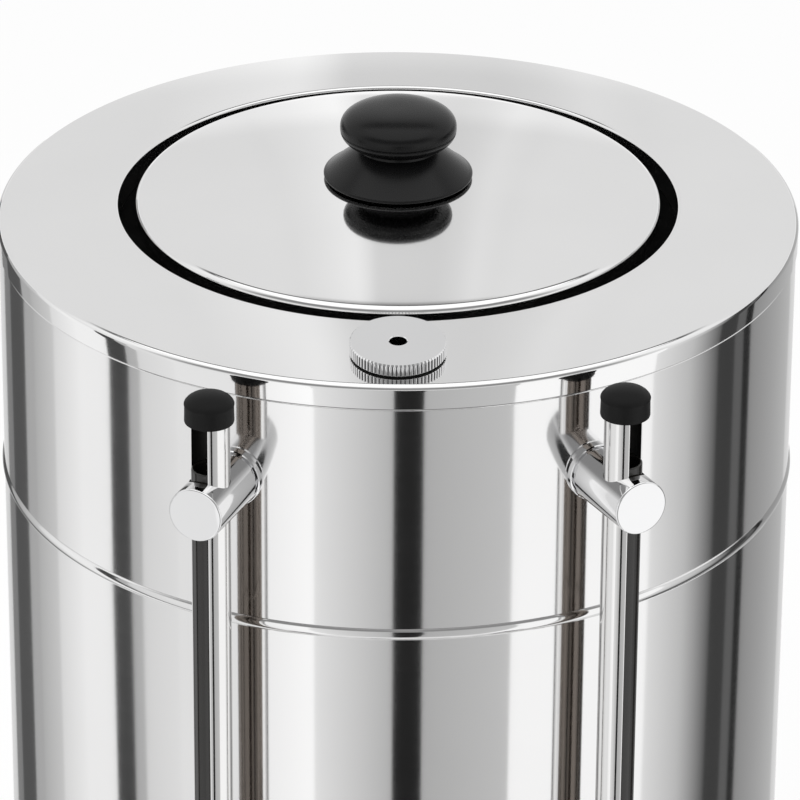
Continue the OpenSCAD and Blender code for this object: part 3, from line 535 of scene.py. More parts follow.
@dataclass(frozen=True)
class Metal:
    """A worked metal: its tint, polish, the lay of its lines and the marks of handling."""

    tint: Colour
    roughness: float
    lay: Lay = Lay.PLAIN
    pitch: float = 2500.0
    depth: float = 2e-7
    anisotropy: float = 0.0
    wear: float = 0.12
    streak: float = 0.12
    patch: float = 14.0
    shade: Point = (0.985, 1.01)

    def dress(self, graph: Surface) -> None:
        """Builds the metal.

        Args:
            graph: its material's node tree.
        """
        graph.set(Metallic=1.0, Anisotropic=self.anisotropy, Anisotropic_Rotation=0.25)
        lines = graph.noise(graph.lines(self.lay), self.pitch, 2.0)
        cloud = graph.noise(graph.coords, self.patch, 4.0)
        graph.tint(cloud, *(scaled(self.tint, share) for share in self.shade))
        worn = graph.spread(cloud, self.roughness * (1 - self.wear), self.roughness * (1 + self.wear))
        streaks = graph.spread(lines, -self.roughness * self.streak, self.roughness * self.streak)
        graph.set(Roughness=graph.math("ADD", worn, streaks))
        graph.bump(lines, self.depth)
        if self.anisotropy:
            graph.set(Tangent=graph.add("Tangent", direction_type="RADIAL", axis="Z").outputs[0])


@dataclass(frozen=True)
class Moulding:
    """A moulded plastic or rubber: its colour, gloss and fine moulded grain."""

    tint: Colour
    roughness: float
    grain: float = 1800.0
    depth: float = 8e-6
    gloss: float = 0.5
    coat: float = 0.0
    patch: float = 35.0
    shade: Point = (0.85, 1.15)
    rub: Point = (0.92, 1.08)
    fine: float = 0.02

    def dress(self, graph: Surface) -> None:
        """Builds the moulding.

        Args:
            graph: its material's node tree.
        """
        graph.set(Specular_IOR_Level=self.gloss, Coat_Weight=self.coat, Coat_Roughness=0.08)
        cloud = graph.noise(graph.coords, self.patch, 4.0)
        grain = graph.noise(graph.coords, self.grain, 3.0)
        graph.tint(cloud, *(scaled(self.tint, share) for share in self.shade))
        rough = graph.spread(cloud, *(self.roughness * share for share in self.rub))
        graph.set(Roughness=graph.math("ADD", rough, graph.spread(grain, -self.fine, self.fine)))
        graph.bump(grain, self.depth)


@dataclass(frozen=True)
class Lens:
    """A clear or dark glassy piece: its colour, gloss and how much light it lets through."""

    tint: Colour
    roughness: float
    clear: float = 0.0
    coat: float = 0.0
    patch: float = 60.0
    shade: Point = (0.8, 1.2)
    rub: Point = (0.8, 1.3)
    ripple: float = 220.0
    depth: float = 2e-6

    def dress(self, graph: Surface) -> None:
        """Builds the lens.

        Args:
            graph: its material's node tree.
        """
        graph.set(IOR=1.47, Transmission_Weight=self.clear, Coat_Weight=self.coat, Coat_Roughness=0.03)
        cloud = graph.noise(graph.coords, self.patch, 3.0)
        graph.tint(cloud, *(scaled(self.tint, share) for share in self.shade))
        graph.set(Roughness=graph.spread(cloud, *(self.roughness * share for share in self.rub)))
        graph.bump(graph.noise(graph.coords, self.ripple, 2.0), self.depth)


@dataclass(frozen=True)
class Wool:
    """A matted mineral wool blanket."""

    tint: Colour
    fibre: float = 420.0
    depth: float = 8e-4
    shade: float = 0.7

    def dress(self, graph: Surface) -> None:
        """Builds the wool.

        Args:
            graph: its material's node tree.
        """
        fibres = graph.noise(graph.coords, self.fibre, 8.0)
        graph.set(Roughness=0.95, Specular_IOR_Level=0.1, Sheen_Weight=0.3)
        graph.tint(fibres, scaled(self.tint, self.shade), self.tint)
        graph.bump(fibres, self.depth)


STEEL = (0.88, 0.877, 0.876)
FINISHES: dict[str, Metal | Moulding | Lens | Wool] = {
    "satin_steel": Metal((0.92, 0.918, 0.917), 0.075, Lay.ROUND, 2600.0, 1.2e-7, anisotropy=0.55),
    "mirror_steel": Metal(STEEL, 0.09, Lay.ROUND, 2200.0, 6e-8, anisotropy=0.5),
    "lid_steel": Metal((0.92, 0.918, 0.917), 0.06, Lay.ROUND, 2600.0, 8e-8, anisotropy=0.45),
    "inner_steel": Metal((0.74, 0.735, 0.725), 0.28, Lay.ROUND, 1500.0, 4e-7, anisotropy=0.4),
    "chrome": Metal((0.90, 0.90, 0.905), 0.045, Lay.PLAIN, 900.0, 3e-8, wear=0.24),
    "polished_tube": Metal((0.87, 0.865, 0.86), 0.07, Lay.ALONG, 2600.0, 6e-8),
    # knurl valleys: a dark dull metal that is painted shade of the hollows between the teeth
    "knurl_valley": Metal((0.16, 0.16, 0.165), 0.25, Lay.PLAIN, 900.0, 3e-7),
    # the shield's side towards the urn: a dark brown metal that is painted shade
    "tube_back": Metal((0.20, 0.175, 0.155), 0.12, Lay.ALONG, 2600.0, 6e-8),
    # the shield's inside: a near-black dull metal that is painted shade in the bore
    "tube_bore": Metal((0.10, 0.098, 0.095), 0.55, Lay.ALONG, 1500.0, 6e-7),
    "element_steel": Metal((0.42, 0.37, 0.33), 0.38, Lay.PLAIN, 600.0, 1e-6, wear=0.32),
    "spring_steel": Metal((0.66, 0.66, 0.66), 0.25, Lay.PLAIN, 1200.0, 4e-7),
    "brass": Metal((0.80, 0.62, 0.32), 0.24, Lay.PLAIN, 1600.0, 6e-7, wear=0.28),
    "black_plastic": Moulding((0.003, 0.003, 0.0032), 0.27, 1500.0, 1.0e-5, gloss=0.26),
    "grey_plastic": Moulding((0.30, 0.30, 0.31), 0.45),
    "ivory_plastic": Moulding((0.80, 0.76, 0.66), 0.42),
    "red_plastic": Moulding((0.40, 0.016, 0.016), 0.25, 900.0, 4e-6, coat=0.3),
    "red_lens": Lens((0.55, 0.015, 0.012), 0.10, clear=0.4, coat=0.4),
    "amber_lens": Lens((0.78, 0.30, 0.02), 0.10, clear=0.4, coat=0.4),
    "black_rubber": Moulding((0.005, 0.005, 0.005), 0.5, 1100.0, 2.2e-5, gloss=0.16),
    # the mouth's gasket: black rubber darkened near to nothing, painted shade of the deep gap round the lid
    "gap_rubber": Moulding((0.0012, 0.0012, 0.0012), 0.7, 1100.0, 2.2e-5, gloss=0.03),
    # sight glass: opaque near-black, standing for its dark contents, with painted shade of the shield's dark
    # inside
    "smoked_glass": Lens((0.010, 0.009, 0.008), 0.06, coat=0.25),
    "insulation": Wool((0.83, 0.80, 0.70)),
}
_made: dict[str, bpy.types.Material] = {}


def finish(slot: str) -> bpy.types.Material:
    """The material of a slot, made once.

    Args:
        slot: the record's slot, or a finish of a piece's second surface.
    Returns:
        The material.
    """
    if slot not in _made:
        graph = Surface(slot)
        FINISHES[slot].dress(graph)
        _made[slot] = graph.material
    return _made[slot]


def seat(piece: Piece, body: str, slot: str, *nodes: str) -> Piece:
    """Gives a finished piece its finish and its body, and hides the CAD nodes that it stands for.

    Args:
        piece: a piece in place.
        body: the CAD body that it moves with.
        slot: the record's material slot.
        nodes: the CAD nodes that it replaces.
    Returns:
        The same piece.
    """
    if piece.data.materials:
        piece.data.materials[0] = finish(slot)
    else:
        piece.data.materials.append(finish(slot))
    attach(piece, body)
    if nodes:
        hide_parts(*nodes)
    LOG.info("%s rides on %s in %s, %d faces", piece.name, body, slot, len(piece.data.polygons))
    return piece


@dataclass
class Casing:
    """The deck with its rim and throat, the two shells and the bead that joins them. Millimetres."""

    rim_r: float = reach("top_deck")
    mouth_z: float = top("top_deck")
    seam_z: float = foot("top_deck")
    shell_r: float = reach("upper_shell")
    ledge_z: float = top("coffee_vessel")
    bead_z: float = (top("body_bead") + foot("body_bead")) / 2
    base_z: float = foot("lower_shell")
    rim_band: float = 11.2
    rim_round: float = 3.0
    slope: float = 5.4
    sheet: float = 1.2
    mouth_r: float = 125.4
    mouth_round: float = 1.6
    seam_gap: float = 0.6
    rim_lap: float = 6.0
    fit: float = 0.05
    edge: float = 0.3
    bead_h: float = 4.8
    bead_proud: float = 0.9
    bead_tongue: float = 9.0
    flange_in: float = 150.0
    foot_round: float = 2.0
    steps: int = 288

    @property
    def rim_z(self) -> float:
        """Height of the rim's top."""
        return self.seam_z + self.rim_band

    def deck_z(self, r: float) -> float:
        """Height of the deck's surface.

        Args:
            r: the distance from the axis.
        Returns:
            The height there.
        """
        tilt = math.radians(self.slope)
        edge_r = self.rim_r - self.rim_round * (1 - math.sin(tilt))
        edge_z = self.rim_z - self.rim_round * (1 - math.cos(tilt))
        return edge_z + (edge_r - r) * math.tan(tilt)

    def build_deck(self) -> Piece:
        """Turns the deck as one bent sheet."""
        edge = (self.rim_r - self.rim_round, self.rim_z - self.rim_round)
        mouth = (self.mouth_r + self.mouth_round, self.mouth_z - self.mouth_round)
        outline = [
            (self.rim_r - self.sheet, self.seam_z),
            (self.rim_r - self.edge, self.seam_z),
            (self.rim_r, self.seam_z + self.edge),
            *arc(*edge, self.rim_round, 0, 90 - self.slope, 14),
            *arc(*mouth, self.mouth_round, 90 - self.slope, 180, 14),
            (self.mouth_r, self.ledge_z),
            (self.mouth_r + self.sheet, self.ledge_z),
            *arc(*mouth, self.mouth_round - self.sheet, 180, 90 - self.slope, 8),
            *arc(*edge, self.rim_round - self.sheet, 90 - self.slope, 0, 8),
        ]
        return turned("deck", outline, self.steps, ring=True)

    def build_upper(self) -> Piece:
        """Turns the upper shell, which laps up behind the rim's band."""
        inner = self.shell_r - self.sheet
        lap_z = self.seam_z - self.seam_gap
        lap_top = self.seam_z + self.rim_lap
        lap_r = self.rim_r - self.sheet - self.fit
        low = self.bead_z + self.bead_h / 2
        outline = [
            (inner, low), (self.shell_r - self.edge, low), (self.shell_r, low + self.edge),
            (self.shell_r, lap_z - self.edge), (self.shell_r - self.edge, lap_z),
            (lap_r, lap_z), (lap_r, lap_top), (lap_r - self.sheet, lap_top),
            (lap_r - self.sheet, lap_z - self.sheet), (inner, lap_z - self.sheet),
        ]
        return turned("casing_upper", outline, self.steps, ring=True)

    def build_bead(self) -> Piece:
        """Turns the bead, crowned outside, with its tongue behind both shells."""
        half = self.bead_h / 2
        curve = (half ** 2 + self.bead_proud ** 2) / (2 * self.bead_proud)
        turn = math.degrees(math.asin(half / curve))
        tongue = self.shell_r - self.sheet - self.fit
        far = half + self.bead_tongue
        outline = [
            (tongue - self.sheet, -far), (tongue, -far), (tongue, -half),
            *arc(self.shell_r + self.bead_proud - curve, 0, curve, -turn, turn, 12),
            (tongue, half), (tongue, far), (tongue - self.sheet, far),
        ]
        return turned("casing_bead", [(r, z + self.bead_z) for r, z in outline], self.steps, ring=True)

    def build_lower(self) -> Piece:
        """Turns the lower shell with its flange over the base plate."""
        inner = self.shell_r - self.sheet
        high = self.bead_z - self.bead_h / 2
        heel = (self.shell_r - self.foot_round, self.base_z + self.foot_round)
        outline = [
            (self.flange_in, self.base_z), *arc(*heel, self.foot_round, -90, 0),
            (self.shell_r, high - self.edge), (self.shell_r - self.edge, high),
            (inner, high), (inner, self.base_z + self.sheet), (self.flange_in, self.base_z + self.sheet),
        ]
        return turned("casing_lower", outline, self.steps, ring=True)

    def build(self, filler: "Filler") -> None:
        """Builds and seats the casing.

        Args:
            filler: the filler whose hole goes through the deck.
        """
        deck = combine(self.build_deck(), filler.hole_cutter(), "DIFFERENCE")
        seat(deck, "root", "satin_steel", "top_deck")
        seat(self.build_upper(), "root", "mirror_steel", "upper_shell")
        seat(self.build_bead(), "root", "mirror_steel", "body_bead")
        seat(self.build_lower(), "root", "mirror_steel", "lower_shell")


@dataclass
class Lid:
    """The domed lid with its rolled edge, and the black knob on it. Millimetres."""

    lid_r: float = reach("lid")
    crown: float = top("lid")
    skirt_z: float = foot("lid")
    knob_top: float = top("lid_knob")
    rise: float = 10.1
    roll: float = 3.5
    sheet: float = 1.2
    bore: float = 3.05
    foot_r: float = 33.4
    foot_h: float = 2.0
    neck_r: float = 18.0
    neck_band: float = 1.4
    grip_r: float = 26.1
    grip_h: float = 23.2
    grip_power: float = 0.8
    part_turn: float = -6.0
    part_depth: float = 0.35
    steps: int = 288

    def build_lid(self) -> Piece:
        """Turns the lid as one sheet with a skirt."""
        tilt = 2 * math.atan(self.rise / self.lid_r)
        turn = 90 - math.degrees(tilt)
        edge_r = self.lid_r - self.roll * (1 - math.sin(tilt))
        dome = edge_r / math.sin(tilt)
        centre = self.crown - dome
        roll = (self.lid_r - self.roll, centre + (dome - self.roll) * math.cos(tilt))
        first = math.degrees(math.acos(self.bore / dome))
        outline = [
            *arc(0, centre, dome, first, turn, 40),
            *arc(*roll, self.roll, turn, 0, 14)[1:],
            (self.lid_r, self.skirt_z), (self.lid_r - self.sheet, self.skirt_z),
            *arc(*roll, self.roll - self.sheet, 0, turn, 8),
            *arc(0, centre, dome - self.sheet, turn, first, 24)[1:],
        ]
        return turned("lid_dome", outline, self.steps, ring=True)

    def grip(self, turn: float) -> Point:
        """A point of the grip's rounded section.

        Args:
            turn: its angle in degrees, negative towards the neck and 90 at the top.
        Returns:
            Its radius, and its height over the lid's crown.
        """
        dome = self.knob_top - self.crown - self.grip_h
        level, rise = math.cos(math.radians(turn)), math.sin(math.radians(turn))
        r = self.grip_r * max(level, 0.0) ** self.grip_power
        return r, self.grip_h + math.copysign(dome * abs(rise) ** self.grip_power, rise)

    def build_knob(self) -> Piece:
        """Turns the knob: a wide foot, a waist and a rounded grip with its parting line."""
        low = -math.degrees(math.acos((self.neck_r / self.grip_r) ** (1 / self.grip_power)))
        neck_h = self.grip(low)[1] - self.neck_band
        part_r, part_z = self.grip(self.part_turn)
        half = self.foot_h / 2
        outline = [
            (0, 0), (self.foot_r - half, 0), *arc(self.foot_r - half, half, half, -60, 70, 8),
            (self.foot_r - 1.7, self.foot_h + 0.5),
            (self.neck_r + 2.0, neck_h - 1.1), (self.neck_r + 0.9, neck_h - 0.45),
            (self.neck_r + 0.2, neck_h + 0.1),
            *[self.grip(low + (self.part_turn - 2 - low) * i / 12) for i in range(13)],
            (part_r - self.part_depth, part_z), *[self.grip(t) for t in range(-3, 90, 3)],
            (0, self.knob_top - self.crown),
        ]
        return turned("knob", [(r, z + self.crown) for r, z in outline], 160)

    def build(self) -> None:
        """Builds and seats the lid and its knob."""
        seat(self.build_lid(), "lid_cover", "lid_steel", "lid")
        seat(self.build_knob(), "lid_cover", "black_plastic", "lid_knob")


@dataclass
class Filler:
    """The knurled, vented filler cap and its seal, square to the deck. Millimetres."""

    casing: Casing
    turn: float = -2.6
    distance: float = 152.6
    cap_r: float = 20.9
    cap_h: float = 5.4
    seal_h: float = 0.8
    lift: float = 0.05
    vent_r: float = 3.8
    stub_r: float = 9.5
    stub_l: float = 9.0
    hole_r: float = 11.61
    plug_h: float = 6.0
    teeth: int = 72
    tooth: float = 0.32
    knurl: tuple[float, ...] = (0.0, 0.0, 0.0, 0.5, 1.0, 0.5)
    chamfer: float = 0.7
    edge: float = 0.3
    steep: float = 0.3

    @property
    def frame(self) -> Matrix:
        """The filler's own frame: its origin on the deck, its Z square to the deck."""
        spot = move(self.distance, 0, self.casing.deck_z(self.distance))
        return facing(self.turn) @ spot @ Matrix.Rotation(math.radians(self.casing.slope), 4, "Y")

    def hole_cutter(self) -> Piece:
        """A plug that cuts the neck's hole through the deck."""
        far = self.plug_h
        plug = [(0, -far), (self.hole_r, -far), (self.hole_r, far), (0, far)]
        return place(turned("hole", plug, 96), self.frame)

    def build_cap(self) -> Piece:
        """Turns the cap with its stub, presses the knurl into its wall, and paints shade into the knurl's
        valleys.
        """
        low = self.lift + self.seal_h
        high = low + self.cap_h
        outline = [
            (self.vent_r, low - self.stub_l), (self.stub_r, low - self.stub_l), (self.stub_r, low),
            (self.cap_r - self.edge, low), (self.cap_r, low + self.edge), (self.cap_r, high - self.chamfer),
            (self.cap_r - self.chamfer, high), (self.vent_r + 0.35, high), (self.vent_r, high - 0.35),
        ]
        steps = len(self.knurl) * self.teeth
        cap = turned("filler_knob", outline, steps, ring=True)
        wall = self.cap_r - self.tooth / 3
        scallop(cap, steps, self.knurl, self.tooth, self.cap_r, lambda p: p.xy.length > wall)
        cap.data.materials.append(finish("chrome"))
        cap.data.materials.append(finish("knurl_valley"))
        # the steep faces down into each valley take the dark metal: painted shade in the knurl's hollows
        for face in cap.data.polygons:
            depth = self.cap_r - face.center.xy.length / MM
            if self.tooth / 2 < depth < 2 * self.tooth and abs(face.normal.z) < self.steep:
                face.material_index = 1
        return place(cap, self.frame)

    def build_seal(self) -> Piece:
        """Turns the seal as a flat ring with round edges."""
        outer = self.cap_r - 0.6
        inner = self.hole_r + 0.4
        high = self.lift + self.seal_h
        outline = [
            (inner, self.lift), (outer - 0.2, self.lift), (outer, self.lift + 0.25),
            (outer, high - 0.25), (outer - 0.2, high), (inner, high),
        ]
        return place(turned("filler_washer", outline, 144, ring=True), self.frame)

    def build(self) -> None:
        """Builds and seats the cap and its seal."""
        seat(self.build_cap(), "filler_screw", "chrome", "filler_cap")
        seat(self.build_seal(), "filler_ring", "black_rubber", "filler_seal")


@dataclass
class Gauge:
    """One sight gauge: its turned arm, slotted shield, dark glass and rubber cap. Millimetres."""

    side: Side
    casing: Casing
    angle: float = 25.6
    stand: float = 24.5
    arm_drop: float = 50.7
    arm_r: float = 12.2
    arm_nose: float = 15.5
    collar_r: float = 13.0
    collar_t: float = 2.2
    groove_w: float = 1.6
    groove_d: float = 1.2
    nose_edge: float = 0.9
    edge: float = 0.4
    seat_depth: float = 1.1
    shield_r: float = 8.8
    shield_wall: float = 0.6
    slot_steps: int = 35
    slot_turn: float = 35.0
    shield_steps: int = 120
    slot_foot: float = 200.0
    # how far round towards the urn the shield's painted shade reaches
    painted_shade_share: float = 0.6
    glass_r: float = 7.9
    glass_wall: float = 1.4
    cap_r: float = 10.75
    cap_dome: float = 4.4

    @property
    def axis(self) -> float:
        """Distance of the gauge's axis from the urn's."""
        return self.casing.shell_r + self.stand

    @property
    def upright(self) -> Matrix:
        """The frame that stands on the gauge's axis, with +X outwards."""
        return facing(self.side.value * self.angle) @ move(self.axis, 0, 0)

    def build_arm(self) -> Piece:
        """Turns the arm along its own axis, lays it outwards and bores it for the shield."""
        start = self.casing.shell_r - self.seat_depth
        arm_z = self.casing.rim_z - self.arm_drop
        neck = self.casing.shell_r + self.collar_t
        body = neck + self.groove_w
        end = self.axis + self.arm_nose
        waist = self.arm_r - self.groove_d
        outline = [
            (0, start), (self.collar_r, start), (self.collar_r, neck - self.edge),
            (self.collar_r - self.edge, neck), (waist, neck), (waist, body),
            (self.arm_r - self.edge, body), (self.arm_r, body + self.edge),
            *arc(self.arm_r - self.nose_edge, end - self.nose_edge, self.nose_edge, 0, 90, 6), (0, end),
        ]
        turn = facing(self.side.value * self.angle)
        arm = place(turned(self.side.node("arm"), outline, 160), turn @ move(0, 0, arm_z) @ LYING)
        bore = self.shield_r + self.casing.fit
        span = 2 * self.arm_r
        cutter = turned("bore", [(0, -span), (bore, -span), (bore, span), (0, span)], 96)
        place(cutter, self.upright @ move(0, 0, arm_z))
        return combine(arm, cutter, "DIFFERENCE")

    def build_shield(self) -> Piece:
        """Spins a tube, opens its slot, and paints shade on its bore and on the side that faces the urn."""
        node = self.side.node("gauge_shield")
        shield = turned(self.side.node("shield"), [
            (self.shield_r, foot(node)), (self.shield_r, self.slot_foot), (self.shield_r, top(node)),
        ], self.shield_steps)
        half = self.slot_steps * 180 / self.shield_steps

        def in_slot(p: Vector) -> bool:
            """Whether a place is in the slot."""
            return p.z > self.slot_foot and abs(math.degrees(math.atan2(p.y, p.x))) < half

        with editing(shield, Domain.FACE):
            pick(shield, Domain.FACE, in_slot)
            bpy.ops.mesh.delete(type="FACE")
        for slot in ("polished_tube", "tube_bore", "tube_back"):
            shield.data.materials.append(finish(slot))
        # the solidified inner faces take the second material, the bore's painted shade
        apply(shield, "SOLIDIFY", thickness=self.shield_wall * MM, offset=-1, material_offset=1,
              use_even_offset=True)
        eased(shield, 0.2, 2, 60)
        # outer faces that turn towards the urn take the dark metal: painted shade on the shield's back
        inwards = math.radians(180 - self.side.value * self.slot_turn)
        towards = Vector((math.cos(inwards), math.sin(inwards)))
        for face in shield.data.polygons:
            if face.material_index == 0 and face.normal.xy.dot(towards) > self.painted_shade_share:
                face.material_index = 2
        turn = Matrix.Rotation(math.radians(self.side.value * self.slot_turn), 4, "Z")
        return place(shield, self.upright @ turn)

    def build_glass(self) -> Piece:
        """Turns the sight glass as a tube with fire-rounded ends."""
        node = self.side.node("sight_glass")
        low, high = foot(node), top(node)
        inner = self.glass_r - self.glass_wall
        lip = self.glass_wall / 2
        middle = self.glass_r - lip
        outline = [(inner, low), (self.glass_r, low), *arc(middle, high - lip, lip, 0, 180, 8)]
        return place(turned(self.side.node("glass"), outline, 64, ring=True), self.upright)

    def build_cap(self) -> Piece:
        """Turns the rubber cap, hollow below, with a soft ridge under its dome."""
        node = self.side.node("gauge_cap")
        low, high = foot(node), top(node)
        ridge = high - self.cap_dome
        bore = self.shield_r + 0.06
        roof = ridge + 0.4
        outline = [
            (0, roof), (bore, roof), (bore, low), (self.cap_r - 0.7, low), (self.cap_r - 0.2, low + 0.25),
            (self.cap_r - 0.05, low + 0.8), (self.cap_r - 0.2, ridge - 1.2), (self.cap_r, ridge - 0.5),
            (self.cap_r, ridge), (self.cap_r - 0.3, ridge + 0.7), (self.cap_r - 1.1, ridge + 1.7),
            (self.cap_r - 2.4, ridge + 2.7), (self.cap_r - 4.4, ridge + 3.6), (self.cap_r - 7.4, ridge + 4.2),
            (0, high),
        ]
        return place(turned(self.side.node("cap"), outline, 96), self.upright)

    def build(self) -> None:
        """Builds and seats the gauge."""
        seat(self.build_arm(), "root", "chrome", self.side.node("gauge_arm"))
        seat(self.build_shield(), "root", "polished_tube", self.side.node("gauge_shield"))
        # the glass is near-black: its contents and painted shade inside the shield
        seat(self.build_glass(), "root", "smoked_glass", self.side.node("sight_glass"))
        seat(self.build_cap(), self.side.node("cap"), "black_rubber", self.side.node("gauge_cap"))


@dataclass
class Tap:
    """One lever tap at a gauge's foot: shank with gauge socket, valve, bonnet and lever. Millimetres."""

    gauge: Gauge
    axis_z: float = 160.0
    throw: float = 39.0
    gasket: float = 2.5
    flange_r: float = 17.0
    flange_t: float = 5.0
    barrel_r: float = 11.0
    shank_r: float = 9.0
    left_end: float = 151.24
    right_end: float = 111.9
    socket_r: float = 12.5
    socket_h: float = 36.0
    socket_round: float = 2.0
    seat_h: float = 15.0
    valve_r: float = 15.0
    chamber_r: float = 11.0
    chamber_drop: float = 12.0
    spigot_r: float = 8.0
    spigot_l: float = 6.0
    boss_r: float = 13.0
    boss_l: float = 5.0
    spout_r: float = 10.0
    outlet_r: float = 6.5
    stem_r: float = 3.05
    bonnet_rise: float = 28.0
    flutes: int = 18
    flute: float = 0.6
    flute_row: tuple[float, ...] = (0, 0, 0, 0.6, 1, 0.6, 0, 0)
    lever_l: float = 62.0
    lean: float = 12.0
    paddle_w: float = 22.0
    paddle_t: float = 10.0
    fork_w: float = 16.0
    fork_gap: float = 6.8
    fork_top: float = 6.0
    hub_r: float = 6.0
    cam_r: float = 8.0
    cam_offset: float = 6.0
    pin_r: float = 2.05

    @property
    def side(self) -> Side:
        """Which of the two taps."""
        return self.gauge.side

    @property
    def fit(self) -> float:
        """The gap between pieces that fit."""
        return self.gauge.casing.fit

    @property
    def outwards(self) -> Matrix:
        """The frame on the urn's axis whose +X runs out along the tap."""
        return facing(self.side.value * self.gauge.angle)

    @property
    def lying(self) -> Matrix:
        """The frame whose +Z runs out along the tap's own level axis."""
        return self.outwards @ move(0, 0, self.axis_z) @ LYING

    @property
    def valve_x(self) -> float:
        """Distance of the valve's axis from the urn's."""
        return self.gauge.axis + self.throw

    @property
    def boss_x(self) -> float:
        """Distance of the boss's face from the urn's axis."""
        return self.valve_x - self.valve_r - self.boss_l

    def build_shank(self) -> Piece:
        """Turns the shank with its flange and barrel, and joins the gauge's socket to it."""
        back = self.gauge.casing.shell_r + self.gasket
        face = back + self.flange_t
        inner = self.left_end if self.side is Side.LEFT else self.right_end
        tip = self.boss_x + self.spigot_l
        outline = [
            (0, inner), (self.shank_r, inner), (self.shank_r, back),
            (self.flange_r - 0.5, back), (self.flange_r, back + 0.5), (self.flange_r, face - 1.2),
            (self.flange_r - 0.9, face - 0.3), (self.flange_r - 2.4, face), (self.barrel_r + 1.6, face + 0.2),
            (self.barrel_r + 0.5, face + 0.7), (self.barrel_r, face + 1.8), (self.barrel_r, self.boss_x),
            (self.spigot_r, self.boss_x), (self.spigot_r, tip), (0, tip),
        ]
        shank = place(turned(self.side.node("shank"), outline, 96), self.lying)
        low, high = self.axis_z - self.socket_r - self.socket_round, self.axis_z + self.socket_h
        heel = (self.socket_r - self.socket_round, low + self.socket_round)
        bore = self.gauge.shield_r + self.fit
        seat_z = self.axis_z + self.seat_h
        socket = turned("socket", [
            (0, low), (self.socket_r - 2.5, low), *arc(*heel, self.socket_round, -70, 0, 5),
            (self.socket_r, high - 4.6), (self.socket_r - 0.5, high - 4.2), (self.socket_r - 0.5, high - 3.6),
            (self.socket_r, high - 3.2), (self.socket_r, high - 0.8), (self.socket_r - 0.8, high),
            (bore, high), (bore, seat_z), (0, seat_z),
        ], 96)
        return combine(shank, place(socket, self.gauge.upright), "UNION")

    def build_valve(self) -> Piece:
        """Turns the body with its spout, joins the boss and bores the outlet and the chamber."""
        node = self.side.node("tap_body")
        low, high = foot(node), top(node)
        seat_z = self.axis_z - self.chamber_drop
        upright = self.outwards @ move(self.valve_x, 0, 0)
        valve = place(turned(self.side.node("valve_body"), [
            (0, low), (self.spout_r - 0.6, low), (self.spout_r, low + 0.6), (self.spout_r, seat_z - 7),
            (self.spout_r + 0.7, seat_z - 5.6), (self.valve_r - 0.5, seat_z - 2.2),
            (self.valve_r, seat_z - 1.2), (self.valve_r, high - 0.6), (self.valve_r - 0.6, high), (0, high),
        ], 96), upright)
        boss = turned("boss", [
            (0, self.boss_x), (self.boss_r - 0.7, self.boss_x), (self.boss_r, self.boss_x + 0.7),
            (self.boss_r, self.valve_x), (0, self.valve_x),
        ], 96)
        combine(valve, place(boss, self.lying), "UNION")
        bore = turned("bore", [
            (0, low - 1), (self.outlet_r + 1.5, low - 1), (self.outlet_r, low + 0.5), (self.outlet_r, seat_z),
            (self.chamber_r, seat_z), (self.chamber_r, high + 2), (0, high + 2),
        ], 96)
        combine(valve, place(bore, upright), "DIFFERENCE")
        hole = self.spigot_r + self.fit
        start = self.boss_x - 2
        end = self.boss_x + self.spigot_l + self.fit
        socket = turned("spigot_hole", [(0, start), (hole, start), (hole, end), (0, end)], 64)
        return combine(valve, place(socket, self.lying), "DIFFERENCE")

    def build_bonnet(self) -> Piece:
        """Turns the bonnet with its plug, and presses flutes into its wall."""
        node = self.side.node("tap_bonnet")
        low, high = foot(node), top(node)
        rim = self.axis_z + self.bonnet_rise
        plug = self.chamber_r - self.fit
        wall = [rim + 0.4, rim + 1.6, rim + 2.2, high - 2.4, high - 1.8]
        outline = [
            (self.stem_r, low), (plug, low), (plug, rim), (self.valve_r - 0.4, rim),
            *[(self.valve_r, z) for z in wall], *arc(self.valve_r - 1.4, high - 1.4, 1.4, 0, 90, 6),
            (self.stem_r + 0.3, high), (self.stem_r, high - 0.3),
        ]
        steps = len(self.flute_row) * self.flutes
        bonnet = turned(self.side.node("bonnet"), outline, steps, ring=True)

        def fluted(p: Vector) -> bool:
            """Whether a place is on the fluted height of the wall."""
            return rim + 2 < p.z < high - 2.2 and p.xy.length > plug + 1

        scallop(bonnet, steps, self.flute_row, self.flute, self.valve_r, fluted)
        return place(bonnet, self.outwards @ move(self.valve_x, 0, 0))

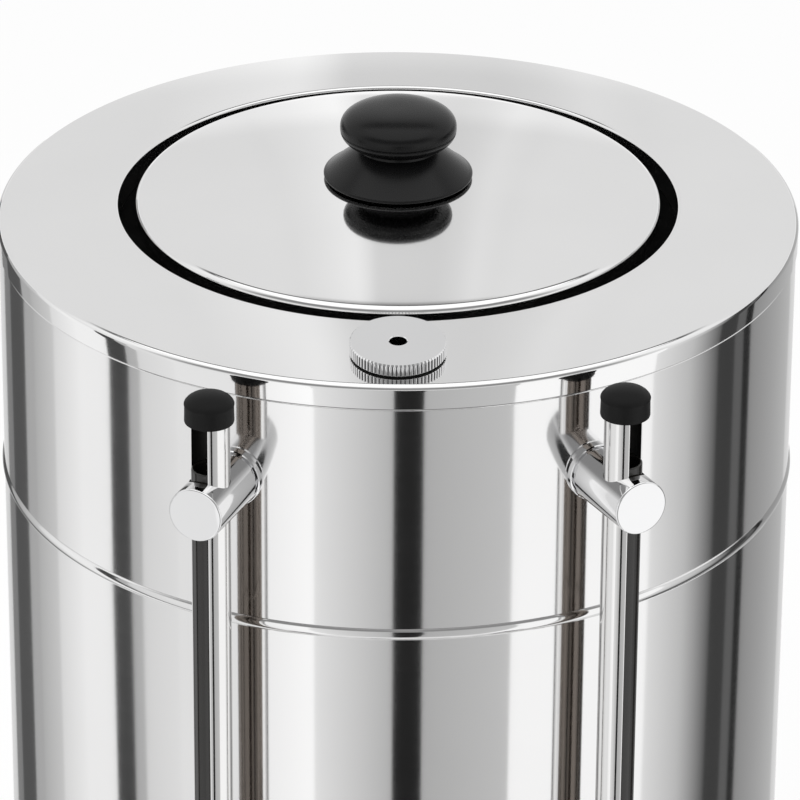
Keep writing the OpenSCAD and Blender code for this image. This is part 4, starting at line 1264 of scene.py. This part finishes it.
    def build_lever(self) -> Piece:
        """Crosses a side outline with a front outline for the paddle, and joins the forked cam to it."""
        lean = math.radians(self.lean)
        tip = self.paddle_t / 2
        root = self.hub_r - 3
        half = self.paddle_w / 2
        crown = (self.lever_l * math.sin(lean) - tip * math.sin(lean), self.lever_l * math.cos(lean) - tip)
        profile = [
            (-self.hub_r, root), (self.hub_r + 2, root), *arc(*crown, tip, -self.lean, 180 - self.lean, 10),
        ]
        front = [
            (-self.fork_w / 2, 0), (self.fork_w / 2, 0), (half, self.lever_l / 2),
            *arc(0, self.lever_l - half, half, 0, 180, 16), (-half, self.lever_l / 2),
        ]
        lever = prism(self.side.node("lever"), profile, 2 * self.paddle_w)
        across = place(prism("across", front, 4 * self.lever_l), Matrix.Rotation(math.radians(90), 4, "Z"))
        eased(combine(lever, across, "INTERSECT"), 1.3, 3, 35)
        hub = prism("hub", arc(0, 0, self.hub_r, 0, 360, 48)[:-1], self.fork_w)
        cam = prism("cam", arc(self.cam_offset, 0, self.cam_r, 0, 360, 64)[:-1], self.fork_w)
        combine(lever, eased(combine(hub, cam, "UNION"), 0.5, 2, 60), "UNION")
        far = 3 * self.cam_r
        opening = [(-far, -far), (far, -far), (far, self.fork_top), (-far, self.fork_top)]
        combine(lever, prism("gap", opening, self.fork_gap), "DIFFERENCE")
        pin = turned("pin", [(0, -far), (self.pin_r, -far), (self.pin_r, far), (0, far)], 48)
        combine(lever, place(pin, FRONTWARD), "DIFFERENCE")
        return place(lever, self.outwards @ move(self.valve_x, 0, self.pin_z))

    @property
    def pin_z(self) -> float:
        """Height of the lever's pin."""
        node = self.side.node("tap_pin")
        return (top(node) + foot(node)) / 2

    def build(self) -> None:
        """Builds and seats the tap."""
        seat(self.build_shank(), "root", "chrome", self.side.node("tap_shank"))
        seat(self.build_valve(), "root", "chrome", self.side.node("tap_body"))
        seat(self.build_bonnet(), "root", "chrome", self.side.node("tap_bonnet"))
        seat(self.build_lever(), self.side.node("handle"), "black_plastic", self.side.node("tap_lever"))


@dataclass
class Dial:
    """The thermostat's fluted knob with its pointer ridge. Millimetres."""

    x: float = -28.0
    z: float = 62.0
    r: float = 15.0
    skirt: float = 3.0
    bore: float = 3.05
    socket: float = 9.0
    flutes: int = 12
    flute: float = 1.6
    flute_row: tuple[float, ...] = (0, 0, 0.15, 0.7, 1, 0.7, 0.15, 0)
    ridge_w: float = 3.0

    def build(self) -> None:
        """Turns, flutes and seats the knob."""
        low, high = (corner.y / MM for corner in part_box("thermostat_knob"))
        depth = high - low
        grip = self.r - 2
        outline = [
            (0, self.socket), (self.bore, self.socket), (self.bore, 0), (self.r - 0.4, 0), (self.r, 0.4),
            (self.r, self.skirt - 0.8), (self.r - 0.8, self.skirt), (grip + 0.3, self.skirt + 0.2),
            (grip, self.skirt + 0.8), (grip, depth - 3.2), *arc(grip - 1.2, depth - 3.2, 1.2, 0, 90, 5),
            (0, depth - 2),
        ]
        steps = len(self.flute_row) * self.flutes
        knob = turned("dial_knob", outline, steps)

        def fluted(p: Vector) -> bool:
            """Whether a place is on the grip's wall."""
            return p.z > self.skirt + 0.5 and p.xy.length > grip - 0.9

        scallop(knob, steps, self.flute_row, self.flute, self.r, fluted)
        half = self.r - 4
        root = depth - 8
        ridge = prism("ridge", [(-half, root), (half, root), (half, depth), (-half, depth)], self.ridge_w)
        combine(knob, eased(ridge, 0.6, 3), "UNION")
        turn = Matrix.Rotation(math.radians(90), 4, "Z")
        place(knob, move(self.x, high, self.z) @ FRONTWARD @ turn)
        seat(knob, "dial", "black_plastic", "thermostat_knob")


@dataclass
class Base:
    """The rubber foot ring under the urn. Millimetres."""

    outer: float = reach("foot_ring")
    high: float = top("foot_ring")
    width: float = 24.0
    edge: float = 4.0

    def build(self) -> None:
        """Turns and seats the foot ring."""
        inner = self.outer - self.width
        outline = [
            *arc(inner + 1, 1, 1, 180, 270, 4), *arc(self.outer - self.edge, self.edge, self.edge, -90, 0, 8),
            (self.outer, self.high), (inner, self.high),
        ]
        seat(turned("foot_band", outline, 256, ring=True), "root", "black_rubber", "foot_ring")


@dataclass
class Inside:
    """The coffee vessel and the brew basket, seen when the lid is off. Millimetres."""

    ledge_z: float = top("coffee_vessel")
    floor_z: float = foot("coffee_vessel")
    flange_r: float = reach("coffee_vessel")
    basket_z: float = foot("brew_basket")
    basket_top: float = top("brew_basket")
    basket_flange: float = reach("brew_basket")
    sheet: float = 1.2
    ledge_r: float = 108.0
    wall_r: float = 124.2
    bottom_round: float = 10.0
    basket_r: float = 106.6
    basket_seat: float = 9.0

    def build_vessel(self) -> Piece:
        """Turns the vessel with its round bottom edge and its flange."""
        middle = (self.wall_r - self.bottom_round, self.floor_z + self.bottom_round)
        under = self.ledge_z - self.sheet
        inner = self.wall_r - self.sheet
        outline = [
            (0, self.floor_z), *arc(*middle, self.bottom_round, -90, 0), (self.wall_r, under),
            (self.flange_r, under), (self.flange_r, self.ledge_z), (self.ledge_r + 0.4, self.ledge_z),
            (self.ledge_r, self.ledge_z - 0.4), (self.ledge_r, under), (inner, under),
            *arc(*middle, self.bottom_round - self.sheet, 0, -90), (0, self.floor_z + self.sheet),
        ]
        return turned("vessel", outline, 224)

    def build_basket(self) -> Piece:
        """Turns the basket with its hanging flange and the ledge for its screen."""
        inner = self.basket_r - self.sheet
        seat_r = self.basket_r - self.basket_seat
        low = self.basket_z + self.sheet
        outline = [
            (seat_r, self.basket_z), *arc(self.basket_r - 2, self.basket_z + 2, 2, -90, 0, 5),
            (self.basket_r, self.ledge_z), (self.basket_flange, self.ledge_z),
            (self.basket_flange, self.basket_top), (inner + 1, self.basket_top),
            (inner, self.basket_top - 1), (inner, low), (seat_r, low),
        ]
        return turned("basket_wall", outline, 192, ring=True)

    def build(self) -> None:
        """Builds and seats the vessel and the basket."""
        seat(self.build_vessel(), "root", "inner_steel", "coffee_vessel")
        seat(self.build_basket(), "basket", "inner_steel", "brew_basket")


def dress_cad_nodes() -> None:
    """Gives each CAD node that still shows the finish of its slot, and the gasket in the mouth a rubber
    darker than its own black, painted shade of the gap round the lid.
    """
    slots = {part["node"]: part["material_slot"] for part in frame["record"]["subparts"]}
    for name, node in frame["nodes"].items():
        if node.hide_render:
            continue
        node.data.materials.clear()
        # the mouth's gasket takes the darkened rubber, painted shade of the gap
        node.data.materials.append(finish("gap_rubber" if name == "mouth_gasket" else slots[name]))
        LOG.info("%s keeps its shape, in %s", name, slots[name])


@dataclass(frozen=True)
class Card:
    """A card that stands round the urn and shows only in its reflections, by degrees right of the camera."""

    start: float
    end: float
    tone: float
    end_tone: float


@dataclass
class Studio:
    """The floor, the cards, the lamps, the white surroundings and the camera. Metres and degrees."""

    turn: float = -2.8
    pitch: float = 26.58
    roll: float = 0.379
    lens: float = 269.46
    sensor: float = 36.0
    spot: tuple[float, float, float] = (0.00151, -2.4461, 1.6824)
    card_r: float = 0.75
    card_h: float = 0.62
    floor_size: float = 40.0
    paper: float = 0.9
    floor_glow: float = 1.04
    floor_share: float = 0.84
    fill: float = 0.55
    lamp_size: float = 1.6
    overhead_size: Point = (2.6, 2.1)
    overhead_at: tuple[float, float, float] = (0, -0.15, 2.4)
    overhead_tone: float = 1.15
    back_stops: tuple[Point, ...] = (
        (0.0, 1.0), (0.17, 1.0), (0.24, 0.87), (0.44, 0.89), (0.70, 0.90), (0.755, 0.12), (0.87, 0.12),
        (0.90, 1.0),
    )
    side_stops: tuple[Point, ...] = ((0.0, 0.80), (0.3, 0.85), (0.6, 0.95), (0.8, 1.0))
    front_stops: tuple[Point, ...] = (
        (0.0, 0.85), (0.15, 0.8), (0.3, 0.5), (0.42, 0.26), (0.68, 0.26), (0.78, 0.7), (0.85, 1.0),
    )
    strip_stops: tuple[Point, ...] = (
        (0.0, 0.86), (0.075, 0.85), (0.175, 0.90), (0.325, 1.0), (0.37, 0.91), (0.41, 0.77),
        (0.67, 0.75), (0.75, 0.80), (0.83, 0.89), (0.925, 0.85), (1.0, 0.87),
    )
    cards: tuple[Card, ...] = (
        Card(-180, -157, 1.05, 1.05),
        Card(-157, -144.5, 0.75, 0.65),
        Card(-144.5, -136.6, 0.22, 0.22),
        Card(-136.6, -123.7, 0.09, 0.09),
        Card(-123.7, -116.8, 0.42, 0.42),
        Card(-116.8, -105, 0.46, 0.62),
        Card(-105, -93.2, 0.75, 0.92),
        Card(-93.2, -80.5, 0.94, 0.94),
        Card(-80.5, -73.6, 0.06, 0.06),
        Card(-73.6, -69.7, 0.46, 0.46),
        Card(-69.7, -58.1, 0.72, 0.8),
        Card(-58.1, -34.8, 0.83, 0.83),
        Card(-34.8, -20.5, 0.94, 1.08),
        Card(-20.5, -0.6, 0.83, 0.5),
        Card(-0.6, 6.8, 0.016, 0.016),
        Card(6.8, 29.5, 0.46, 0.57),
        Card(29.5, 69.7, 1.03, 1.03),
        Card(69.7, 82.4, 0.78, 0.55),
        Card(82.4, 94.2, 0.55, 0.1),
        Card(94.2, 102, 0.05, 0.05),
        Card(102, 106.5, 0.12, 0.12),
        Card(106.5, 110.4, 0.02, 0.02),
        Card(110.4, 144.5, 0.28, 0.5),
        Card(144.5, 157, 0.65, 0.75),
        Card(157, 180, 1.05, 1.05),
    )

    def build_camera(self) -> None:
        """Sets the camera at the photograph's angle."""
        data = bpy.data.cameras.new("camera")
        data.lens = self.lens
        data.sensor_width = self.sensor
        data.clip_end = 200
        camera = bpy.data.objects.new("camera", data)
        bpy.context.scene.collection.objects.link(camera)
        swing = Matrix.Rotation(math.radians(self.turn), 4, "Z")
        tilt = Matrix.Rotation(math.radians(90 - self.pitch), 4, "X")
        lean = Matrix.Rotation(math.radians(self.roll), 4, "Z")
        camera.matrix_world = swing @ Matrix.Translation(Vector(self.spot)) @ tilt @ lean
        bpy.context.scene.camera = camera

    def build_floor(self) -> None:
        """Lays the pale floor, which is white to the camera and keeps the shadow."""
        bpy.ops.object.select_all(action="DESELECT")
        bpy.ops.mesh.primitive_plane_add(size=self.floor_size)
        floor = bpy.context.active_object
        floor.name = "floor"
        graph = Surface("floor")
        paper = graph.add("BsdfDiffuse", {"Color": (self.paper, self.paper, self.paper, 1)})
        light = graph.add("Emission", {"Strength": self.floor_glow})
        path = graph.add("LightPath").outputs
        seen = graph.math("MAXIMUM", path["Is Camera Ray"], path["Is Glossy Ray"])
        share = graph.math("MULTIPLY", seen, self.floor_share)
        graph.show(graph.add("MixShader", {0: share, 1: paper.outputs[0], 2: light.outputs[0]}).outputs[0])
        floor.data.materials.append(graph.material)
        floor.visible_glossy = False

    def glossy_only(self, piece: Piece, material: bpy.types.Material) -> None:
        """Shows a stage piece in reflections and nowhere else.

        Args:
            piece: the stage piece.
            material: what it shows.
        """
        piece.data.materials.append(material)
        piece.visible_camera = False
        piece.visible_diffuse = False
        piece.visible_shadow = False
        piece.visible_transmission = False

    def glow(self, name: str, tone: float, end_tone: float, start: float, end: float) -> bpy.types.Material:
        """An emission that runs between two tones over an angle round the urn.

        Args:
            name: the material's name.
            tone, end_tone: the strengths at the two ends.
            start, end: the ends' world angles from the front, in degrees.
        Returns:
            The material.
        """
        graph = Surface(name)
        strength = tone
        if tone != end_tone:
            middle = math.radians((start + end) / 2)
            half = math.radians(end - start) / 2
            turn = graph.add("Mapping", {"Vector": graph.coords, "Rotation": (0, 0, -middle)})
            split = graph.add("SeparateXYZ", {0: turn.outputs[0]}).outputs
            angle = graph.math("ARCTAN2", split["X"], graph.math("MULTIPLY", split["Y"], -1.0))
            strength = graph.remap(angle, -half, half, tone, end_tone)
        graph.show(graph.add("Emission", {"Strength": strength}).outputs[0])
        return graph.material

    def build_cards(self) -> None:
        """Stands the cards round the urn."""
        for number, card in enumerate(self.cards):
            name = f"card_{number:02d}"
            piece = speck(name)
            start, end = card.start + self.turn, card.end + self.turn
            first = math.radians(start)
            at = Vector((math.sin(first), -math.cos(first), 0)) * self.card_r
            with editing(piece):
                bpy.ops.mesh.select_all(action="SELECT")
                trace([at - Vector((0, 0, self.card_h)), at + Vector((0, 0, self.card_h))])
                steps = max(2, round((end - start) / 3))
                turn = math.radians(start - end)
                bpy.ops.mesh.spin(steps=steps, angle=turn, center=(0, 0, 0), axis=(0, 0, 1))
            self.glossy_only(piece, self.glow(name, card.tone, card.end_tone, start, end))

    def build_panel(self, name: str, size: Point, matrix: Matrix, tone: float) -> None:
        """Hangs a flat panel that shows in reflections.

        Args:
            name: its name.
            size: its width and length.
            matrix: its place.
            tone: its brightness.
        """
        bpy.ops.object.select_all(action="DESELECT")
        bpy.ops.mesh.primitive_plane_add(size=1)
        panel = bpy.context.active_object
        panel.name = name
        place(panel, matrix @ Matrix.Diagonal((*size, 1, 1)))
        self.glossy_only(panel, self.glow(name, tone, tone, 0, 0))

    def build_lamp(self, name: str, at: tuple[float, float, float], power: float) -> None:
        """Hangs a soft square lamp that looks at the urn.

        Args:
            name: its name.
            at: its place.
            power: its power in watts.
        """
        data = bpy.data.lights.new(name, "AREA")
        data.size = self.lamp_size
        data.energy = power
        lamp = bpy.data.objects.new(name, data)
        bpy.context.scene.collection.objects.link(lamp)
        aim = Vector((0, 0, 0.4)) - Vector(at)
        lamp.matrix_world = Matrix.Translation(Vector(at)) @ aim.to_track_quat("-Z", "Y").to_matrix().to_4x4()
        lamp.visible_glossy = False

    def build_world(self) -> None:
        """Sets the surroundings: white to the camera, a striped back and a darker front in reflections."""
        world = bpy.data.worlds.new("surroundings")
        bpy.context.scene.world = world
        world.use_nodes = True
        world.node_tree.nodes.clear()
        graph = Graph(world.node_tree)
        sky = graph.add("TexCoord").outputs["Generated"]
        turn = graph.add("Mapping", {"Vector": sky, "Rotation": (0, 0, -math.radians(self.turn))})
        across, along, height = graph.add("SeparateXYZ", {0: turn.outputs[0]}).outputs
        strips = graph.greys(graph.remap(across, -0.1, 0.1), self.strip_stops)
        back = graph.mix(1.0, graph.greys(height, self.back_stops), strips, "MULTIPLY")
        rear = graph.mix(graph.remap(along, 0.2, 0.36), graph.greys(height, self.side_stops), back)
        tones = graph.mix(graph.remap(along, -0.12, -0.42), rear, graph.greys(height, self.front_stops))
        white = (1, 1, 1, 1)
        fill = graph.add("Background", {"Color": white, "Strength": self.fill})
        mirrored = graph.add("Background", {"Color": tones, "Strength": 1.0})
        seen = graph.add("Background", {"Color": white, "Strength": 1.0})
        path = graph.add("LightPath").outputs
        lit = {0: path["Is Glossy Ray"], 1: fill.outputs[0], 2: mirrored.outputs[0]}
        shown = graph.math("MAXIMUM", path["Is Camera Ray"], path["Is Transmission Ray"])
        both = {0: shown, 1: graph.add("MixShader", lit).outputs[0], 2: seen.outputs[0]}
        graph.add("OutputWorld", {"Surface": graph.add("MixShader", both).outputs[0]})

    def build(self) -> None:
        """Builds the studio."""
        bpy.context.scene.view_settings.view_transform = "Standard"
        self.build_camera()
        self.build_world()
        self.build_floor()
        self.build_cards()
        swing = Matrix.Rotation(math.radians(self.turn), 4, "Z")
        overhead = swing @ Matrix.Translation(self.overhead_at)
        self.build_panel("overhead", self.overhead_size, overhead, self.overhead_tone)
        self.build_lamp("key_lamp", (-1.6, -1.6, 2.4), 40)
        self.build_lamp("fill_lamp", (1.8, -1.2, 2.0), 25)


def main() -> None:
    """Builds the studio and the urn, piece by piece."""
    logging.basicConfig(level=logging.INFO, format="%(name)s: %(message)s")
    Studio().build()
    casing = Casing()
    filler = Filler(casing)
    casing.build(filler)
    filler.build()
    Lid().build()
    for side in Side:
        gauge = Gauge(side, casing)
        gauge.build()
        Tap(gauge).build()
    Dial().build()
    Base().build()
    Inside().build()
    dress_cad_nodes()


if __name__ == "__main__":
    main()
